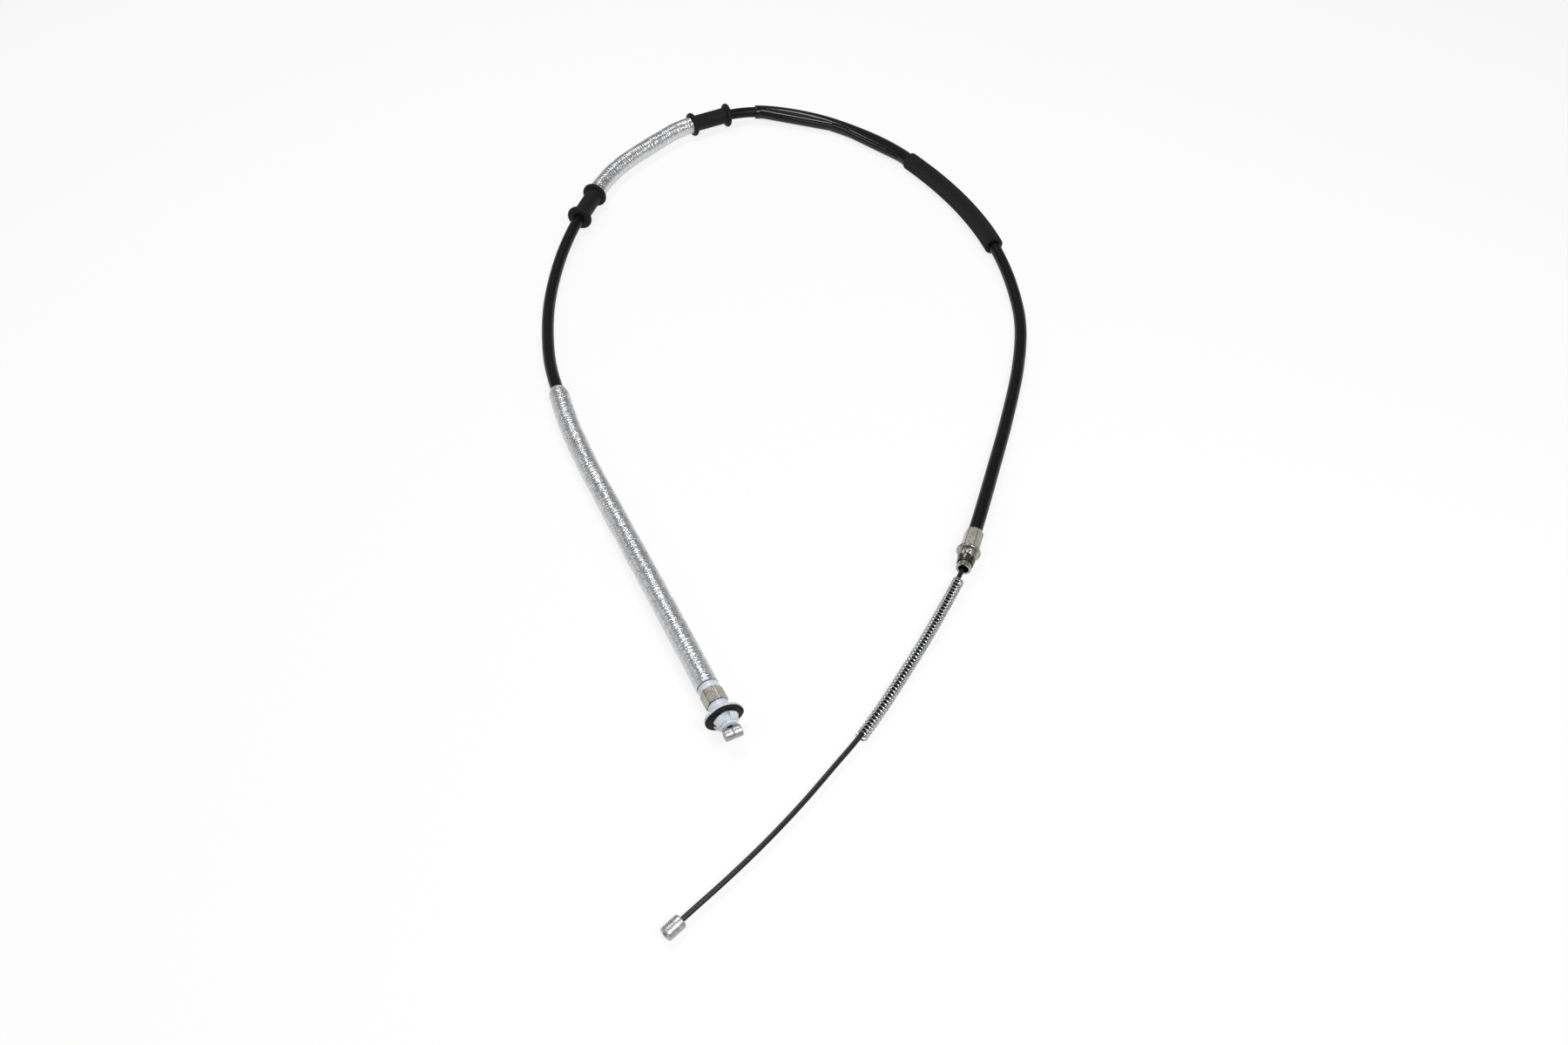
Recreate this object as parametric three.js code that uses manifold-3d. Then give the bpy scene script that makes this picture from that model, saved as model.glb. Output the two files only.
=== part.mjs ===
// A car's hand brake cable, lying in one wide open bend on a flat surface.
// Millimetres, +Z up. The cable lies on z = 0, with the origin at the middle of its footprint.
import * as THREE from 'three';
import { mergeVertices } from 'three/addons/utils/BufferGeometryUtils.js';
import Module from 'manifold-3d';

const wasm = await Module();
wasm.setup();

// Clearances between pieces that seat on each other and between the layers of the casing
const SEAT_GAP = 0.3;
const LAYER_GAP = 0.15;

// Route of the casing, from the middle of the front nipple to the mouth of the rear ferrule
const CASING_ROUTE = [
  [-27.5, -276.5, 10.2], [-47.5, -236.0, 10.2], [-57.5, -215.75, 10.2], [-87.5, -155.0, 8.6],
  [-112.0, -104.0, 7.45], [-130.5, -65.0, 7.45], [-147.5, -27.0, 7.5], [-160.0, 8.0, 7.7],
  [-171.0, 45.0, 6.0], [-178.0, 89.0, 4.7], [-180.3, 125.0, 4.7], [-178.0, 167.0, 6.6],
  [-173.0, 197.0, 9.0], [-167.2, 220.5, 10.3], [-158.3, 253.0, 10.3], [-149.5, 281.0, 9.8],
  [-138.0, 303.0, 9.6], [-118.0, 329.5, 9.6], [-97.0, 353.0, 9.9], [-81.5, 364.0, 10.3],
  [-53.3, 379.5, 10.3], [-27.0, 388.5, 8.6], [-2.0, 387.5, 7.0], [32.5, 377.0, 6.1],
  [65.5, 356.0, 6.1], [95.5, 327.5, 7.3], [124.5, 288.5, 7.7], [148.0, 246.5, 7.7],
  [165.3, 202.0, 8.1], [175.3, 162.0, 6.4], [180.0, 118.0, 4.7], [179.0, 86.0, 4.6],
  [171.5, 42.0, 4.6], [157.5, -12.5, 4.7], [142.3, -63.0, 5.8], [129.0, -108.0, 7.85],
  [118.5, -140.0, 7.85], [113.9, -154.0, 7.85],
];

// Route of the bare rear stretch of the wire, from inside the rear ferrule to the end of the nipple
const WIRE_ROUTE = [
  [120.1, -135.0, 7.85], [115.4, -148.3, 7.8], [111.3, -158.0, 7.4], [107.6, -165.4, 7.1],
  [95.8, -188.6, 6.3], [83.5, -211.0, 5.5], [71.1, -232.0, 4.9], [58.5, -252.5, 4.6],
  [42.8, -275.7, 4.5], [29.7, -292.6, 4.4], [10.4, -317.3, 4.25], [-9.0, -340.0, 4.15],
  [-28.4, -360.7, 4.1], [-47.8, -380.0, 4.1], [-59.4, -391.7, 4.1],
];

// Inner wire and the layers of the casing round it
const WIRE_R = 1.55;
const WIRE_PLAY = 0.25;
const LINER_WALL = 0.5;
const ARMOUR_WALL = 0.6;
const JACKET_R = 4.5;
const FRONT_STUB_LENGTH = 45;

// Front nipple, a cylinder across the wire
const FRONT_NIPPLE_R = 3.5;
const FRONT_NIPPLE_LENGTH = 10.6;
const FRONT_NIPPLE_SEAM = 0.3;
const FRONT_NIPPLE_CHAMFER = 0.4;
const FRONT_WIRE_PAST_CENTRE = 1.0;

// Front mounting body: snout with snap lugs, oval flange, collar
const SNOUT_LENGTH = 6.6;
const SNOUT_TIP_R = 5.6;
const SNOUT_BASE_R = 6.9;
const SNOUT_CHAMFER = 0.6;
const LUG_COUNT = 4;
const LUG_LENGTH = 4.8;
const LUG_HEIGHT = 1.1;
const LUG_LIP = 1.0;
const LUG_SLOT_WIDTH = 4.2;
const LUG_TO_GASKET = 0.6;
const FLANGE_HALF_WIDTH = 11.7;
const FLANGE_HALF_HEIGHT = 9.9;
const FLANGE_THICKNESS = 1.5;
const OVAL_ROUNDNESS = 1.75;
const FLARE_LENGTH = 1.8;
const FLARE_R = 8.6;
const COLLAR_R = 6.3;
const COLLAR_LENGTH = 5.0;
const CASING_SOCKET_DEPTH = 6.0;

// Front gasket, hexagonal crimp ferrule and seal ring
const GASKET_HALF_WIDTH = 12.0;
const GASKET_HALF_HEIGHT = 10.2;
const GASKET_THICKNESS = 2.2;
const FRONT_CRIMP_CORNER_R = 7.0;
const FRONT_CRIMP_LENGTH = 9.5;
const FRONT_CRIMP_CHAMFER = 0.5;
const SEAL_RING_R = 6.35;
const SEAL_RING_LENGTH = 4.0;

// Heat sleeves: aluminium over fibre
const HEAT_SLEEVE_R = 7.35;
const HEAT_SLEEVE_WALL = 2.2;
const HEAT_SLEEVE_ROLL = 2.0;
const LONG_SLEEVE_LENGTH = 283;

// Grommets, with the short heat sleeve between them
const GROMMET_FLANGE_R = 10.2;
const GROMMET_FLANGE_THICKNESS = 4.2;
const GROMMET_BODY_R = 6.9;
const GROMMET_FILLET = 0.8;
const GROMMET_LENGTH = 38;
const SHORT_SLEEVE_LENGTH = 132.4;
const BARE_BEFORE_GROMMETS = 209.9;
const BARE_AFTER_GROMMETS = 25;

// Gloss sleeve, and the ribbed sleeve that follows it
const GLOSS_LENGTH = 164;
const GLOSS_R = 5.9;
const GLOSS_END_CHAMFER = 0.5;
const RIBBED_LENGTH = 138;
const RIB_R = 7.55;
const RIB_DEPTH = 0.8;
const RIB_COUNT = 20;

// Rear ferrule: crimp sleeve, stop flange, toothed hub, nose with a lip
const REAR_CRIMP_CORNER_R = 6.2;
const REAR_CRIMP_LENGTH = 18.2;
const REAR_CRIMP_CHAMFER = 1.0;
const REAR_CRIMP_TURN = THREE.MathUtils.degToRad(10);
const STOP_FLANGE_R = 7.85;
const STOP_FLANGE_THICKNESS = 2.2;
const STOP_FLANGE_EDGE = 0.5;
const HUB_R = 5.2;
const HUB_LENGTH = 4.2;
const HUB_TEETH = 22;
const HUB_TOOTH_DEPTH = 0.35;
const NOSE_R = 4.45;
const NOSE_LENGTH = 9.6;
const NOSE_LIP_R = 4.8;
const NOSE_LIP_LENGTH = 1.4;
const NOSE_BORE_R = 3.35;
const JACKET_STOP_THICKNESS = 1.9;

// Rear retaining clip: slotted spring collar, widest at the tips of its fingers
const CLIP_LENGTH = 5.0;
const CLIP_TIP_R = 5.85;
const CLIP_WALL = 0.55;
const CLIP_RING_LENGTH = 1.4;
const CLIP_FINGERS = 6;
const CLIP_SLOT_WIDTH = 1.3;

// Return spring, hung on the wire
const SPRING_R = 3.75;
const SPRING_WIRE_R = 0.53;
const SPRING_LENGTH = 130;
const SPRING_TURNS = 51;
const SPRING_CLOSED_TURNS = 1.5;
const SPRING_CLOSED_PITCH = 1.4;
const SPRING_START = 29.5;
const SPRING_STEPS_PER_TURN = 8;
const SPRING_SIDES = 5;

// Rear nipple, a barrel in line with the wire
const REAR_NIPPLE_R = 4.1;
const REAR_NIPPLE_LENGTH = 11;
const REAR_NIPPLE_CHAMFER = 0.6;
const REAR_NIPPLE_GATE = 1.2;
const REAR_WIRE_DEPTH = 7;

// How far a cutting tool reaches past the face that it cuts
const CUT_PAST = 1;

// Fineness of the faceted forms
const JACKET_SIDES = 10;
const CORD_SIDES = 8;
const SLEEVE_SIDES = 12;
const TURNED_SIDES = 24;
const BORE_SIDES = 16;
const OVAL_SIDES = 32;
const CASING_STEP = 31;
const WIRE_STEP = 12;
const SHORTEST_STEP = 1;
const EASED_EDGE_SHARE = 0.3;

const materials = {
  zinc: metal(0xb9bcbd, 0.38),
  platedSteel: metal(0xa9aaa6, 0.35),
  springSteel: metal(0x9a9c9e, 0.3),
  armourSteel: metal(0x8b8d90, 0.5),
  aluminiumFoil: metal(0xc9cbcc, 0.35),
  nylon: plastic(0xdfe5ea, 0.45),
  linerPlastic: plastic(0xe9e6da, 0.5),
  jacketPlastic: plastic(0x1b1b1d, 0.42),
  glossPlastic: plastic(0x101012, 0.18),
  wireCoat: plastic(0x141415, 0.4),
  rubber: plastic(0x161616, 0.85),
};

function metal(color, roughness) {
  return new THREE.MeshStandardMaterial({ color, roughness, metalness: 0.9 });
}

function plastic(color, roughness) {
  return new THREE.MeshStandardMaterial({ color, roughness, metalness: 0 });
}

// A smooth line through hand-placed points, on which places are counted in millimetres.
class Route extends THREE.CatmullRomCurve3 {
  constructor(points) {
    super(points.map((point) => new THREE.Vector3(...point)), false, 'centripetal');
    this.arcLengthDivisions = 40 * points.length;
    this.length = this.getLength();
  }

  // Past either end the line goes straight on.
  pointAt(place) {
    const held = THREE.MathUtils.clamp(place, 0, this.length);
    return this.getPointAt(held / this.length).addScaledVector(this.tangentAt(place), place - held);
  }

  tangentAt(place) {
    return this.getTangentAt(THREE.MathUtils.clamp(place / this.length, 0, 1));
  }

  // The level sideways direction and the direction square to it and to the line
  acrossAt(place) {
    const tangent = this.tangentAt(place);
    const side = new THREE.Vector3().crossVectors(tangent, new THREE.Vector3(0, 0, 1)).normalize();
    return { side, up: new THREE.Vector3().crossVectors(side, tangent) };
  }
}

// The part of a route that passes through a list of places, one extrusion step between each two
class Stretch extends THREE.Curve {
  constructor(route, places) {
    super();
    this.route = route;
    this.places = places;
  }

  placeOf(share) {
    const at = share * (this.places.length - 1);
    const before = Math.min(Math.floor(at), this.places.length - 2);
    return THREE.MathUtils.lerp(this.places[before], this.places[before + 1], at - before);
  }

  getPointAt(share) {
    return this.route.pointAt(this.placeOf(share));
  }

  getTangentAt(share) {
    return this.route.tangentAt(this.placeOf(share));
  }
}

// The middle line of the return spring's wire, wound round a route
class Coil extends THREE.Curve {
  constructor(route, start, hang) {
    super();
    Object.assign(this, { route, start, hang });
  }

  getPoint(share) {
    const turn = share * SPRING_TURNS;
    const closed = Math.min(turn, SPRING_CLOSED_TURNS) * SPRING_CLOSED_PITCH;
    const openPitch = (SPRING_LENGTH - SPRING_CLOSED_TURNS * SPRING_CLOSED_PITCH)
      / (SPRING_TURNS - SPRING_CLOSED_TURNS);
    const place = this.start + closed + Math.max(turn - SPRING_CLOSED_TURNS, 0) * openPitch;
    const { side, up } = this.route.acrossAt(place);
    const angle = 2 * Math.PI * turn;
    const reach = SPRING_R - SPRING_WIRE_R;
    return this.route.pointAt(place)
      .addScaledVector(side, reach * Math.cos(angle))
      .addScaledVector(up, reach * Math.sin(angle) - this.hang);
  }

  getPointAt(share) {
    return this.getPoint(share);
  }

  getTangentAt(share) {
    return this.getTangent(share);
  }
}

const casingRoute = new Route(CASING_ROUTE);
const wireRoute = new Route(WIRE_ROUTE);

// Places along the casing's route
const SNOUT_TIP = FRONT_NIPPLE_R + SEAT_GAP;
const GASKET_FRONT = SNOUT_TIP + SNOUT_LENGTH;
const FLANGE_FRONT = GASKET_FRONT + GASKET_THICKNESS + SEAT_GAP;
const FLANGE_BACK = FLANGE_FRONT + FLANGE_THICKNESS;
const COLLAR_START = FLANGE_BACK + FLARE_LENGTH;
const COLLAR_END = COLLAR_START + COLLAR_LENGTH;
const CASING_SOCKET = COLLAR_END - CASING_SOCKET_DEPTH;
const CASING_START = CASING_SOCKET + SEAT_GAP;
const FRONT_CRIMP_START = COLLAR_END + SEAT_GAP;
const FRONT_CRIMP_END = FRONT_CRIMP_START + FRONT_CRIMP_LENGTH;
const SEAL_RING_START = FRONT_CRIMP_END + SEAT_GAP;
const SEAL_RING_END = SEAL_RING_START + SEAL_RING_LENGTH;
const LONG_SLEEVE_START = SEAL_RING_END + SEAT_GAP;
const LONG_SLEEVE_END = LONG_SLEEVE_START + LONG_SLEEVE_LENGTH;
const FIRST_GROMMET_START = LONG_SLEEVE_END + BARE_BEFORE_GROMMETS;
const FIRST_GROMMET_END = FIRST_GROMMET_START + GROMMET_LENGTH;
const SHORT_SLEEVE_START = FIRST_GROMMET_END + SEAT_GAP;
const SHORT_SLEEVE_END = SHORT_SLEEVE_START + SHORT_SLEEVE_LENGTH;
const SECOND_GROMMET_START = SHORT_SLEEVE_END + SEAT_GAP;
const SECOND_GROMMET_END = SECOND_GROMMET_START + GROMMET_LENGTH;
const GLOSS_START = SECOND_GROMMET_END + BARE_AFTER_GROMMETS;
const GLOSS_END = GLOSS_START + GLOSS_LENGTH;
const RIBBED_START = GLOSS_END + SEAT_GAP;
const RIBBED_END = RIBBED_START + RIBBED_LENGTH;
const NOSE_MOUTH = casingRoute.length;
const NOSE_START = NOSE_MOUTH - NOSE_LENGTH;
const HUB_START = NOSE_START - HUB_LENGTH;
const STOP_FLANGE_START = HUB_START - STOP_FLANGE_THICKNESS;
const REAR_CRIMP_START = STOP_FLANGE_START - REAR_CRIMP_LENGTH;
const JACKET_STOP = HUB_START - JACKET_STOP_THICKNESS;
const CASING_END = JACKET_STOP - SEAT_GAP;
const FRONT_STUB_START = -FRONT_WIRE_PAST_CENTRE;
const FRONT_STUB_END = FRONT_STUB_START + FRONT_STUB_LENGTH;
const BARE_WIRE_START = NOSE_MOUTH - wireRoute.points[0].distanceTo(casingRoute.points.at(-1));

// Places along the bare wire's route
const REAR_NIPPLE_START = wireRoute.length - REAR_NIPPLE_LENGTH;
const BARE_WIRE_END = REAR_NIPPLE_START + REAR_WIRE_DEPTH;

// Radii that follow from the layer inside
const LINER_BORE_R = clearOf(WIRE_R + WIRE_PLAY, CORD_SIDES);
const LINER_R = LINER_BORE_R + LINER_WALL;
const ARMOUR_BORE_R = clearOf(LINER_R + LAYER_GAP, CORD_SIDES);
const ARMOUR_R = ARMOUR_BORE_R + ARMOUR_WALL;
const JACKET_BORE_R = clearOf(ARMOUR_R + LAYER_GAP, JACKET_SIDES);
const JACKET_SEAT_R = JACKET_R + SEAT_GAP;

// Corner radius of a polygon whose flats lie at the given radius
function clearOf(radius, sides) {
  return radius / Math.cos(Math.PI / sides);
}

// Places from one to another, evenly spaced and at most about one step apart
function spaced(from, to, step) {
  const count = Math.max(1, Math.round((to - from) / step));
  return Array.from({ length: count + 1 }, (_, i) => from + (to - from) * i / count);
}

// All pieces on the casing bend at the same places, so that nested pieces stay clear of each other.
const casingLandmarks = [
  CASING_START, LONG_SLEEVE_START, LONG_SLEEVE_END, FIRST_GROMMET_START, FIRST_GROMMET_END,
  SECOND_GROMMET_START, SECOND_GROMMET_END, GLOSS_START, GLOSS_END, RIBBED_END, REAR_CRIMP_START,
  CASING_END,
];
const casingPlaces = casingLandmarks.slice(1)
  .flatMap((to, i) => spaced(casingLandmarks[i], to, CASING_STEP));

function placesBetween(from, to) {
  const inside = casingPlaces.filter(
    (place) => place > from + SHORTEST_STEP && place < to - SHORTEST_STEP,
  );
  return [from, ...new Set(inside), to];
}

function polygon(radius, sides) {
  return Array.from({ length: sides }, (_, i) => {
    const angle = 2 * Math.PI * i / sides;
    return new THREE.Vector2(radius * Math.cos(angle), radius * Math.sin(angle));
  });
}

// A polygon whose corners alternate between two radii
function toothed(outer, inner, teeth) {
  return polygon(1, 2 * teeth).map((corner, i) => corner.multiplyScalar(i % 2 ? inner : outer));
}

// A long round tube or rod along a route
function swept(outline, bore, route, places) {
  const section = new THREE.Shape(outline);
  if (bore) section.holes.push(new THREE.Path(bore));
  return new THREE.ExtrudeGeometry(section, {
    steps: places.length - 1,
    extrudePath: new Stretch(route, places),
  });
}

// A turned form about the Y axis, from a closed profile of [radius, place] pairs
function turned(profile, sides) {
  const points = [...profile, profile[0]].map(([radius, place]) => new THREE.Vector2(radius, place));
  return new THREE.LatheGeometry(points, sides);
}

// A round rod about the Y axis between two places
function rod(radius, from, to, sides = BORE_SIDES) {
  return turned([[0, from], [radius, from], [radius, to], [0, to]], sides);
}

// A flat outline, extruded along the Y axis between two places
function prism(outline, from, to) {
  const geometry = new THREE.ExtrudeGeometry(new THREE.Shape(outline), {
    depth: to - from,
    bevelEnabled: false,
  });
  return geometry.rotateX(-Math.PI / 2).translate(0, from, 0);
}

function solid(geometry) {
  const bare = geometry.clone();
  bare.deleteAttribute('normal');
  bare.deleteAttribute('uv');
  const merged = mergeVertices(bare, 1e-4);
  const corners = [];
  for (let i = 0; i < merged.index.count; i += 3) {
    const [a, b, c] = [0, 1, 2].map((k) => merged.index.getX(i + k));
    if (a !== b && b !== c && c !== a) corners.push(a, b, c);
  }
  return new wasm.Manifold(new wasm.Mesh({
    numProp: 3,
    vertProperties: merged.attributes.position.array,
    triVerts: new Uint32Array(corners),
  }));
}

function geometryOf(body) {
  const mesh = body.getMesh();
  const geometry = new THREE.BufferGeometry();
  geometry.setAttribute('position', new THREE.BufferAttribute(mesh.vertProperties, 3));
  geometry.setIndex(new THREE.BufferAttribute(mesh.triVerts, 1));
  return geometry;
}

// Lays a form that was built about the Y axis along a route, its heights becoming places.
function laidAlong(route, geometry) {
  const position = geometry.attributes.position;
  const corner = new THREE.Vector3();
  for (let i = 0; i < position.count; i += 1) {
    corner.fromBufferAttribute(position, i);
    const { side, up } = route.acrossAt(corner.y);
    const laid = route.pointAt(corner.y).addScaledVector(side, corner.x).addScaledVector(up, corner.z);
    position.setXYZ(i, laid.x, laid.y, laid.z);
  }
  return geometry;
}

const cable = new THREE.Group();

function add(name, geometry, material) {
  const mesh = new THREE.Mesh(geometry, material);
  mesh.name = name;
  cable.add(mesh);
}

function casing() {
  const places = placesBetween(CASING_START, CASING_END);
  const layers = [
    ['casing_jacket', JACKET_R, JACKET_BORE_R, JACKET_SIDES, materials.jacketPlastic],
    ['casing_armour', ARMOUR_R, ARMOUR_BORE_R, CORD_SIDES, materials.armourSteel],
    ['casing_liner', LINER_R, LINER_BORE_R, CORD_SIDES, materials.linerPlastic],
  ];
  for (const [name, radius, bore, sides, material] of layers) {
    add(name, swept(polygon(radius, sides), polygon(bore, sides), casingRoute, places), material);
  }
}

// The wire is one piece on the real cable. It is cut where its ends start to move.
function innerWire() {
  const section = polygon(WIRE_R, CORD_SIDES);
  const hidden = placesBetween(FRONT_STUB_END + SEAT_GAP, BARE_WIRE_START - SEAT_GAP);
  const bare = spaced(0, BARE_WIRE_END, WIRE_STEP);
  const stub = [FRONT_STUB_START, FRONT_STUB_END];
  add('inner_wire_front', swept(section, null, casingRoute, stub), materials.wireCoat);
  add('inner_wire', swept(section, null, casingRoute, hidden), materials.wireCoat);
  add('inner_wire_rear', swept(section, null, wireRoute, bare), materials.wireCoat);
}

function frontNipple() {
  const half = FRONT_NIPPLE_LENGTH / 2;
  const inner = FRONT_NIPPLE_R - FRONT_NIPPLE_CHAMFER;
  const seam = FRONT_NIPPLE_R - FRONT_NIPPLE_SEAM;
  const barrel = turned([
    [0, -half], [inner, -half], [FRONT_NIPPLE_R, FRONT_NIPPLE_CHAMFER - half],
    [FRONT_NIPPLE_R, -FRONT_NIPPLE_SEAM], [seam, 0], [FRONT_NIPPLE_R, FRONT_NIPPLE_SEAM],
    [FRONT_NIPPLE_R, half - FRONT_NIPPLE_CHAMFER], [inner, half], [0, half],
  ], TURNED_SIDES).rotateZ(-Math.PI / 2);
  const bore = rod(clearOf(WIRE_R + SEAT_GAP, BORE_SIDES), FRONT_STUB_START - SEAT_GAP, SNOUT_TIP);
  const body = solid(barrel).subtract(solid(bore));
  add('front_nipple', laidAlong(casingRoute, geometryOf(body)), materials.zinc);
}

// An oval drawn out to two blunt points at its sides: a superellipse, which at 2 is a true ellipse
function pointedOval(halfWidth, halfHeight) {
  const power = 2 / OVAL_ROUNDNESS;
  return polygon(1, OVAL_SIDES).map(({ x, y }) => new THREE.Vector2(
    halfWidth * Math.sign(x) * Math.abs(x) ** power,
    halfHeight * Math.sign(y) * Math.abs(y) ** power,
  ));
}

function frontMountingBody() {
  const lugEnd = GASKET_FRONT - LUG_TO_GASKET;
  const lugStart = lugEnd - LUG_LENGTH;
  const shell = solid(turned([
    [0, SNOUT_TIP], [SNOUT_TIP_R - SNOUT_CHAMFER, SNOUT_TIP],
    [SNOUT_TIP_R, SNOUT_TIP + SNOUT_CHAMFER],
    [SNOUT_BASE_R, GASKET_FRONT], [SNOUT_BASE_R, FLANGE_BACK], [FLARE_R, FLANGE_BACK],
    [COLLAR_R, COLLAR_START], [COLLAR_R, COLLAR_END], [0, COLLAR_END],
  ], TURNED_SIDES));
  const flange = solid(prism(
    pointedOval(FLANGE_HALF_WIDTH, FLANGE_HALF_HEIGHT), FLANGE_FRONT, FLANGE_BACK,
  ));
  const lugR = SNOUT_BASE_R + LUG_HEIGHT;
  let lugs = solid(turned([
    [0, lugStart], [SNOUT_TIP_R, lugStart], [lugR, lugEnd - LUG_LIP], [lugR, lugEnd], [0, lugEnd],
  ], TURNED_SIDES));
  for (let i = 0; i < LUG_COUNT / 2; i += 1) {
    const slot = new THREE.BoxGeometry(3 * lugR, 2 * LUG_LENGTH, LUG_SLOT_WIDTH)
      .translate(0, (lugStart + lugEnd) / 2, 0)
      .rotateY(2 * Math.PI * i / LUG_COUNT);
    lugs = lugs.subtract(solid(slot));
  }
  const openEnd = COLLAR_END + CUT_PAST;
  const wireBore = rod(clearOf(WIRE_R + WIRE_PLAY, BORE_SIDES), 0, openEnd);
  const socket = rod(clearOf(JACKET_SEAT_R, TURNED_SIDES), CASING_SOCKET, openEnd, TURNED_SIDES);
  const body = shell.add(flange).add(lugs).subtract(solid(wireBore)).subtract(solid(socket));
  add('front_mounting_body', laidAlong(casingRoute, geometryOf(body)), materials.nylon);
}

function frontGasket() {
  const plate = solid(prism(
    pointedOval(GASKET_HALF_WIDTH, GASKET_HALF_HEIGHT), GASKET_FRONT, GASKET_FRONT + GASKET_THICKNESS,
  ));
  const seat = clearOf(SNOUT_BASE_R + SEAT_GAP, TURNED_SIDES);
  const hole = rod(seat, GASKET_FRONT - CUT_PAST, FLANGE_BACK, TURNED_SIDES);
  const body = plate.subtract(solid(hole));
  add('front_gasket', laidAlong(casingRoute, geometryOf(body)), materials.rubber);
}

// A hexagonal sleeve with chamfered ends, crimped round the casing, with a flat on top
function hexagonalSleeve(cornerRadius, chamfer, from, to) {
  return turned([
    [0, from], [cornerRadius - chamfer, from], [cornerRadius, from + chamfer],
    [cornerRadius, to - chamfer], [cornerRadius - chamfer, to], [0, to],
  ], 6).rotateY(Math.PI / 6);
}

function frontCrimpFerrule() {
  const hexagon = solid(hexagonalSleeve(
    FRONT_CRIMP_CORNER_R, FRONT_CRIMP_CHAMFER, FRONT_CRIMP_START, FRONT_CRIMP_END,
  ).rotateY(Math.PI / 6));
  const seat = clearOf(JACKET_SEAT_R, TURNED_SIDES);
  const bore = rod(seat, FRONT_CRIMP_START - CUT_PAST, FRONT_CRIMP_END + CUT_PAST, TURNED_SIDES);
  const body = hexagon.subtract(solid(bore));
  add('front_crimp_ferrule', laidAlong(casingRoute, geometryOf(body)), materials.platedSteel);
}

function sealRing() {
  const bore = clearOf(JACKET_SEAT_R, TURNED_SIDES);
  const ring = turned([
    [bore, SEAL_RING_START], [SEAL_RING_R, SEAL_RING_START], [SEAL_RING_R, SEAL_RING_END],
    [bore, SEAL_RING_END],
  ], TURNED_SIDES);
  add('seal_ring', laidAlong(casingRoute, ring), materials.nylon);
}

// A sleeve over the casing. Each end is eased by its own amount, by a rounded edge of two facets.
function sleeve(radius, bore, from, to, easeFrom, easeTo) {
  const places = placesBetween(from, to);
  const middle = places.slice(1, -1);
  const corner = (ease) => [radius - EASED_EDGE_SHARE * ease, EASED_EDGE_SHARE * ease];
  const start = easeFrom
    ? [[radius - easeFrom, from], [corner(easeFrom)[0], from + corner(easeFrom)[1]], [radius, from + easeFrom]]
    : [[radius, from]];
  const end = easeTo
    ? [[radius, to - easeTo], [corner(easeTo)[0], to - corner(easeTo)[1]], [radius - easeTo, to]]
    : [[radius, to]];
  const inside = places.map((place) => [bore, place]).reverse();
  return turned([...start, ...middle.map((place) => [radius, place]), ...end, ...inside], SLEEVE_SIDES);
}

function heatSleeves() {
  const bore = HEAT_SLEEVE_R - HEAT_SLEEVE_WALL;
  const long = sleeve(HEAT_SLEEVE_R, bore, LONG_SLEEVE_START, LONG_SLEEVE_END, 0, HEAT_SLEEVE_ROLL);
  const short = sleeve(HEAT_SLEEVE_R, bore, SHORT_SLEEVE_START, SHORT_SLEEVE_END, 0, 0);
  add('heat_sleeve_long', laidAlong(casingRoute, long), materials.aluminiumFoil);
  add('heat_sleeve_short', laidAlong(casingRoute, short), materials.aluminiumFoil);
}

// A rubber spool: a round body between two flanges with fully rounded rims
function grommet(name, start) {
  const half = GROMMET_FLANGE_THICKNESS / 2;
  const rimCentre = GROMMET_FLANGE_R - half;
  const rim = (middle) => [-90, -54, -18, 18, 54, 90].map((degrees) => {
    const angle = THREE.MathUtils.degToRad(degrees);
    return [rimCentre + half * Math.cos(angle), middle + half * Math.sin(angle)];
  });
  const bore = clearOf(JACKET_SEAT_R, BORE_SIDES);
  const end = start + GROMMET_LENGTH;
  const spool = turned([
    [bore, start], ...rim(start + half),
    [GROMMET_BODY_R + GROMMET_FILLET, start + GROMMET_FLANGE_THICKNESS],
    [GROMMET_BODY_R, start + GROMMET_FLANGE_THICKNESS + GROMMET_FILLET],
    [GROMMET_BODY_R, end - GROMMET_FLANGE_THICKNESS - GROMMET_FILLET],
    [GROMMET_BODY_R + GROMMET_FILLET, end - GROMMET_FLANGE_THICKNESS],
    ...rim(end - half), [bore, end],
  ], BORE_SIDES);
  add(name, laidAlong(casingRoute, spool), materials.rubber);
}

function glossSleeve() {
  const bore = clearOf(JACKET_SEAT_R, SLEEVE_SIDES);
  const tube = sleeve(GLOSS_R, bore, GLOSS_START, GLOSS_END, GLOSS_END_CHAMFER, GLOSS_END_CHAMFER);
  add('gloss_sleeve', laidAlong(casingRoute, tube), materials.glossPlastic);
}

function ribbedSleeve() {
  const outline = toothed(RIB_R, RIB_R - RIB_DEPTH, RIB_COUNT);
  const bore = polygon(clearOf(JACKET_SEAT_R, JACKET_SIDES), JACKET_SIDES);
  const tube = swept(outline, bore, casingRoute, placesBetween(RIBBED_START, RIBBED_END));
  add('ribbed_sleeve', tube, materials.rubber);
}

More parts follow.
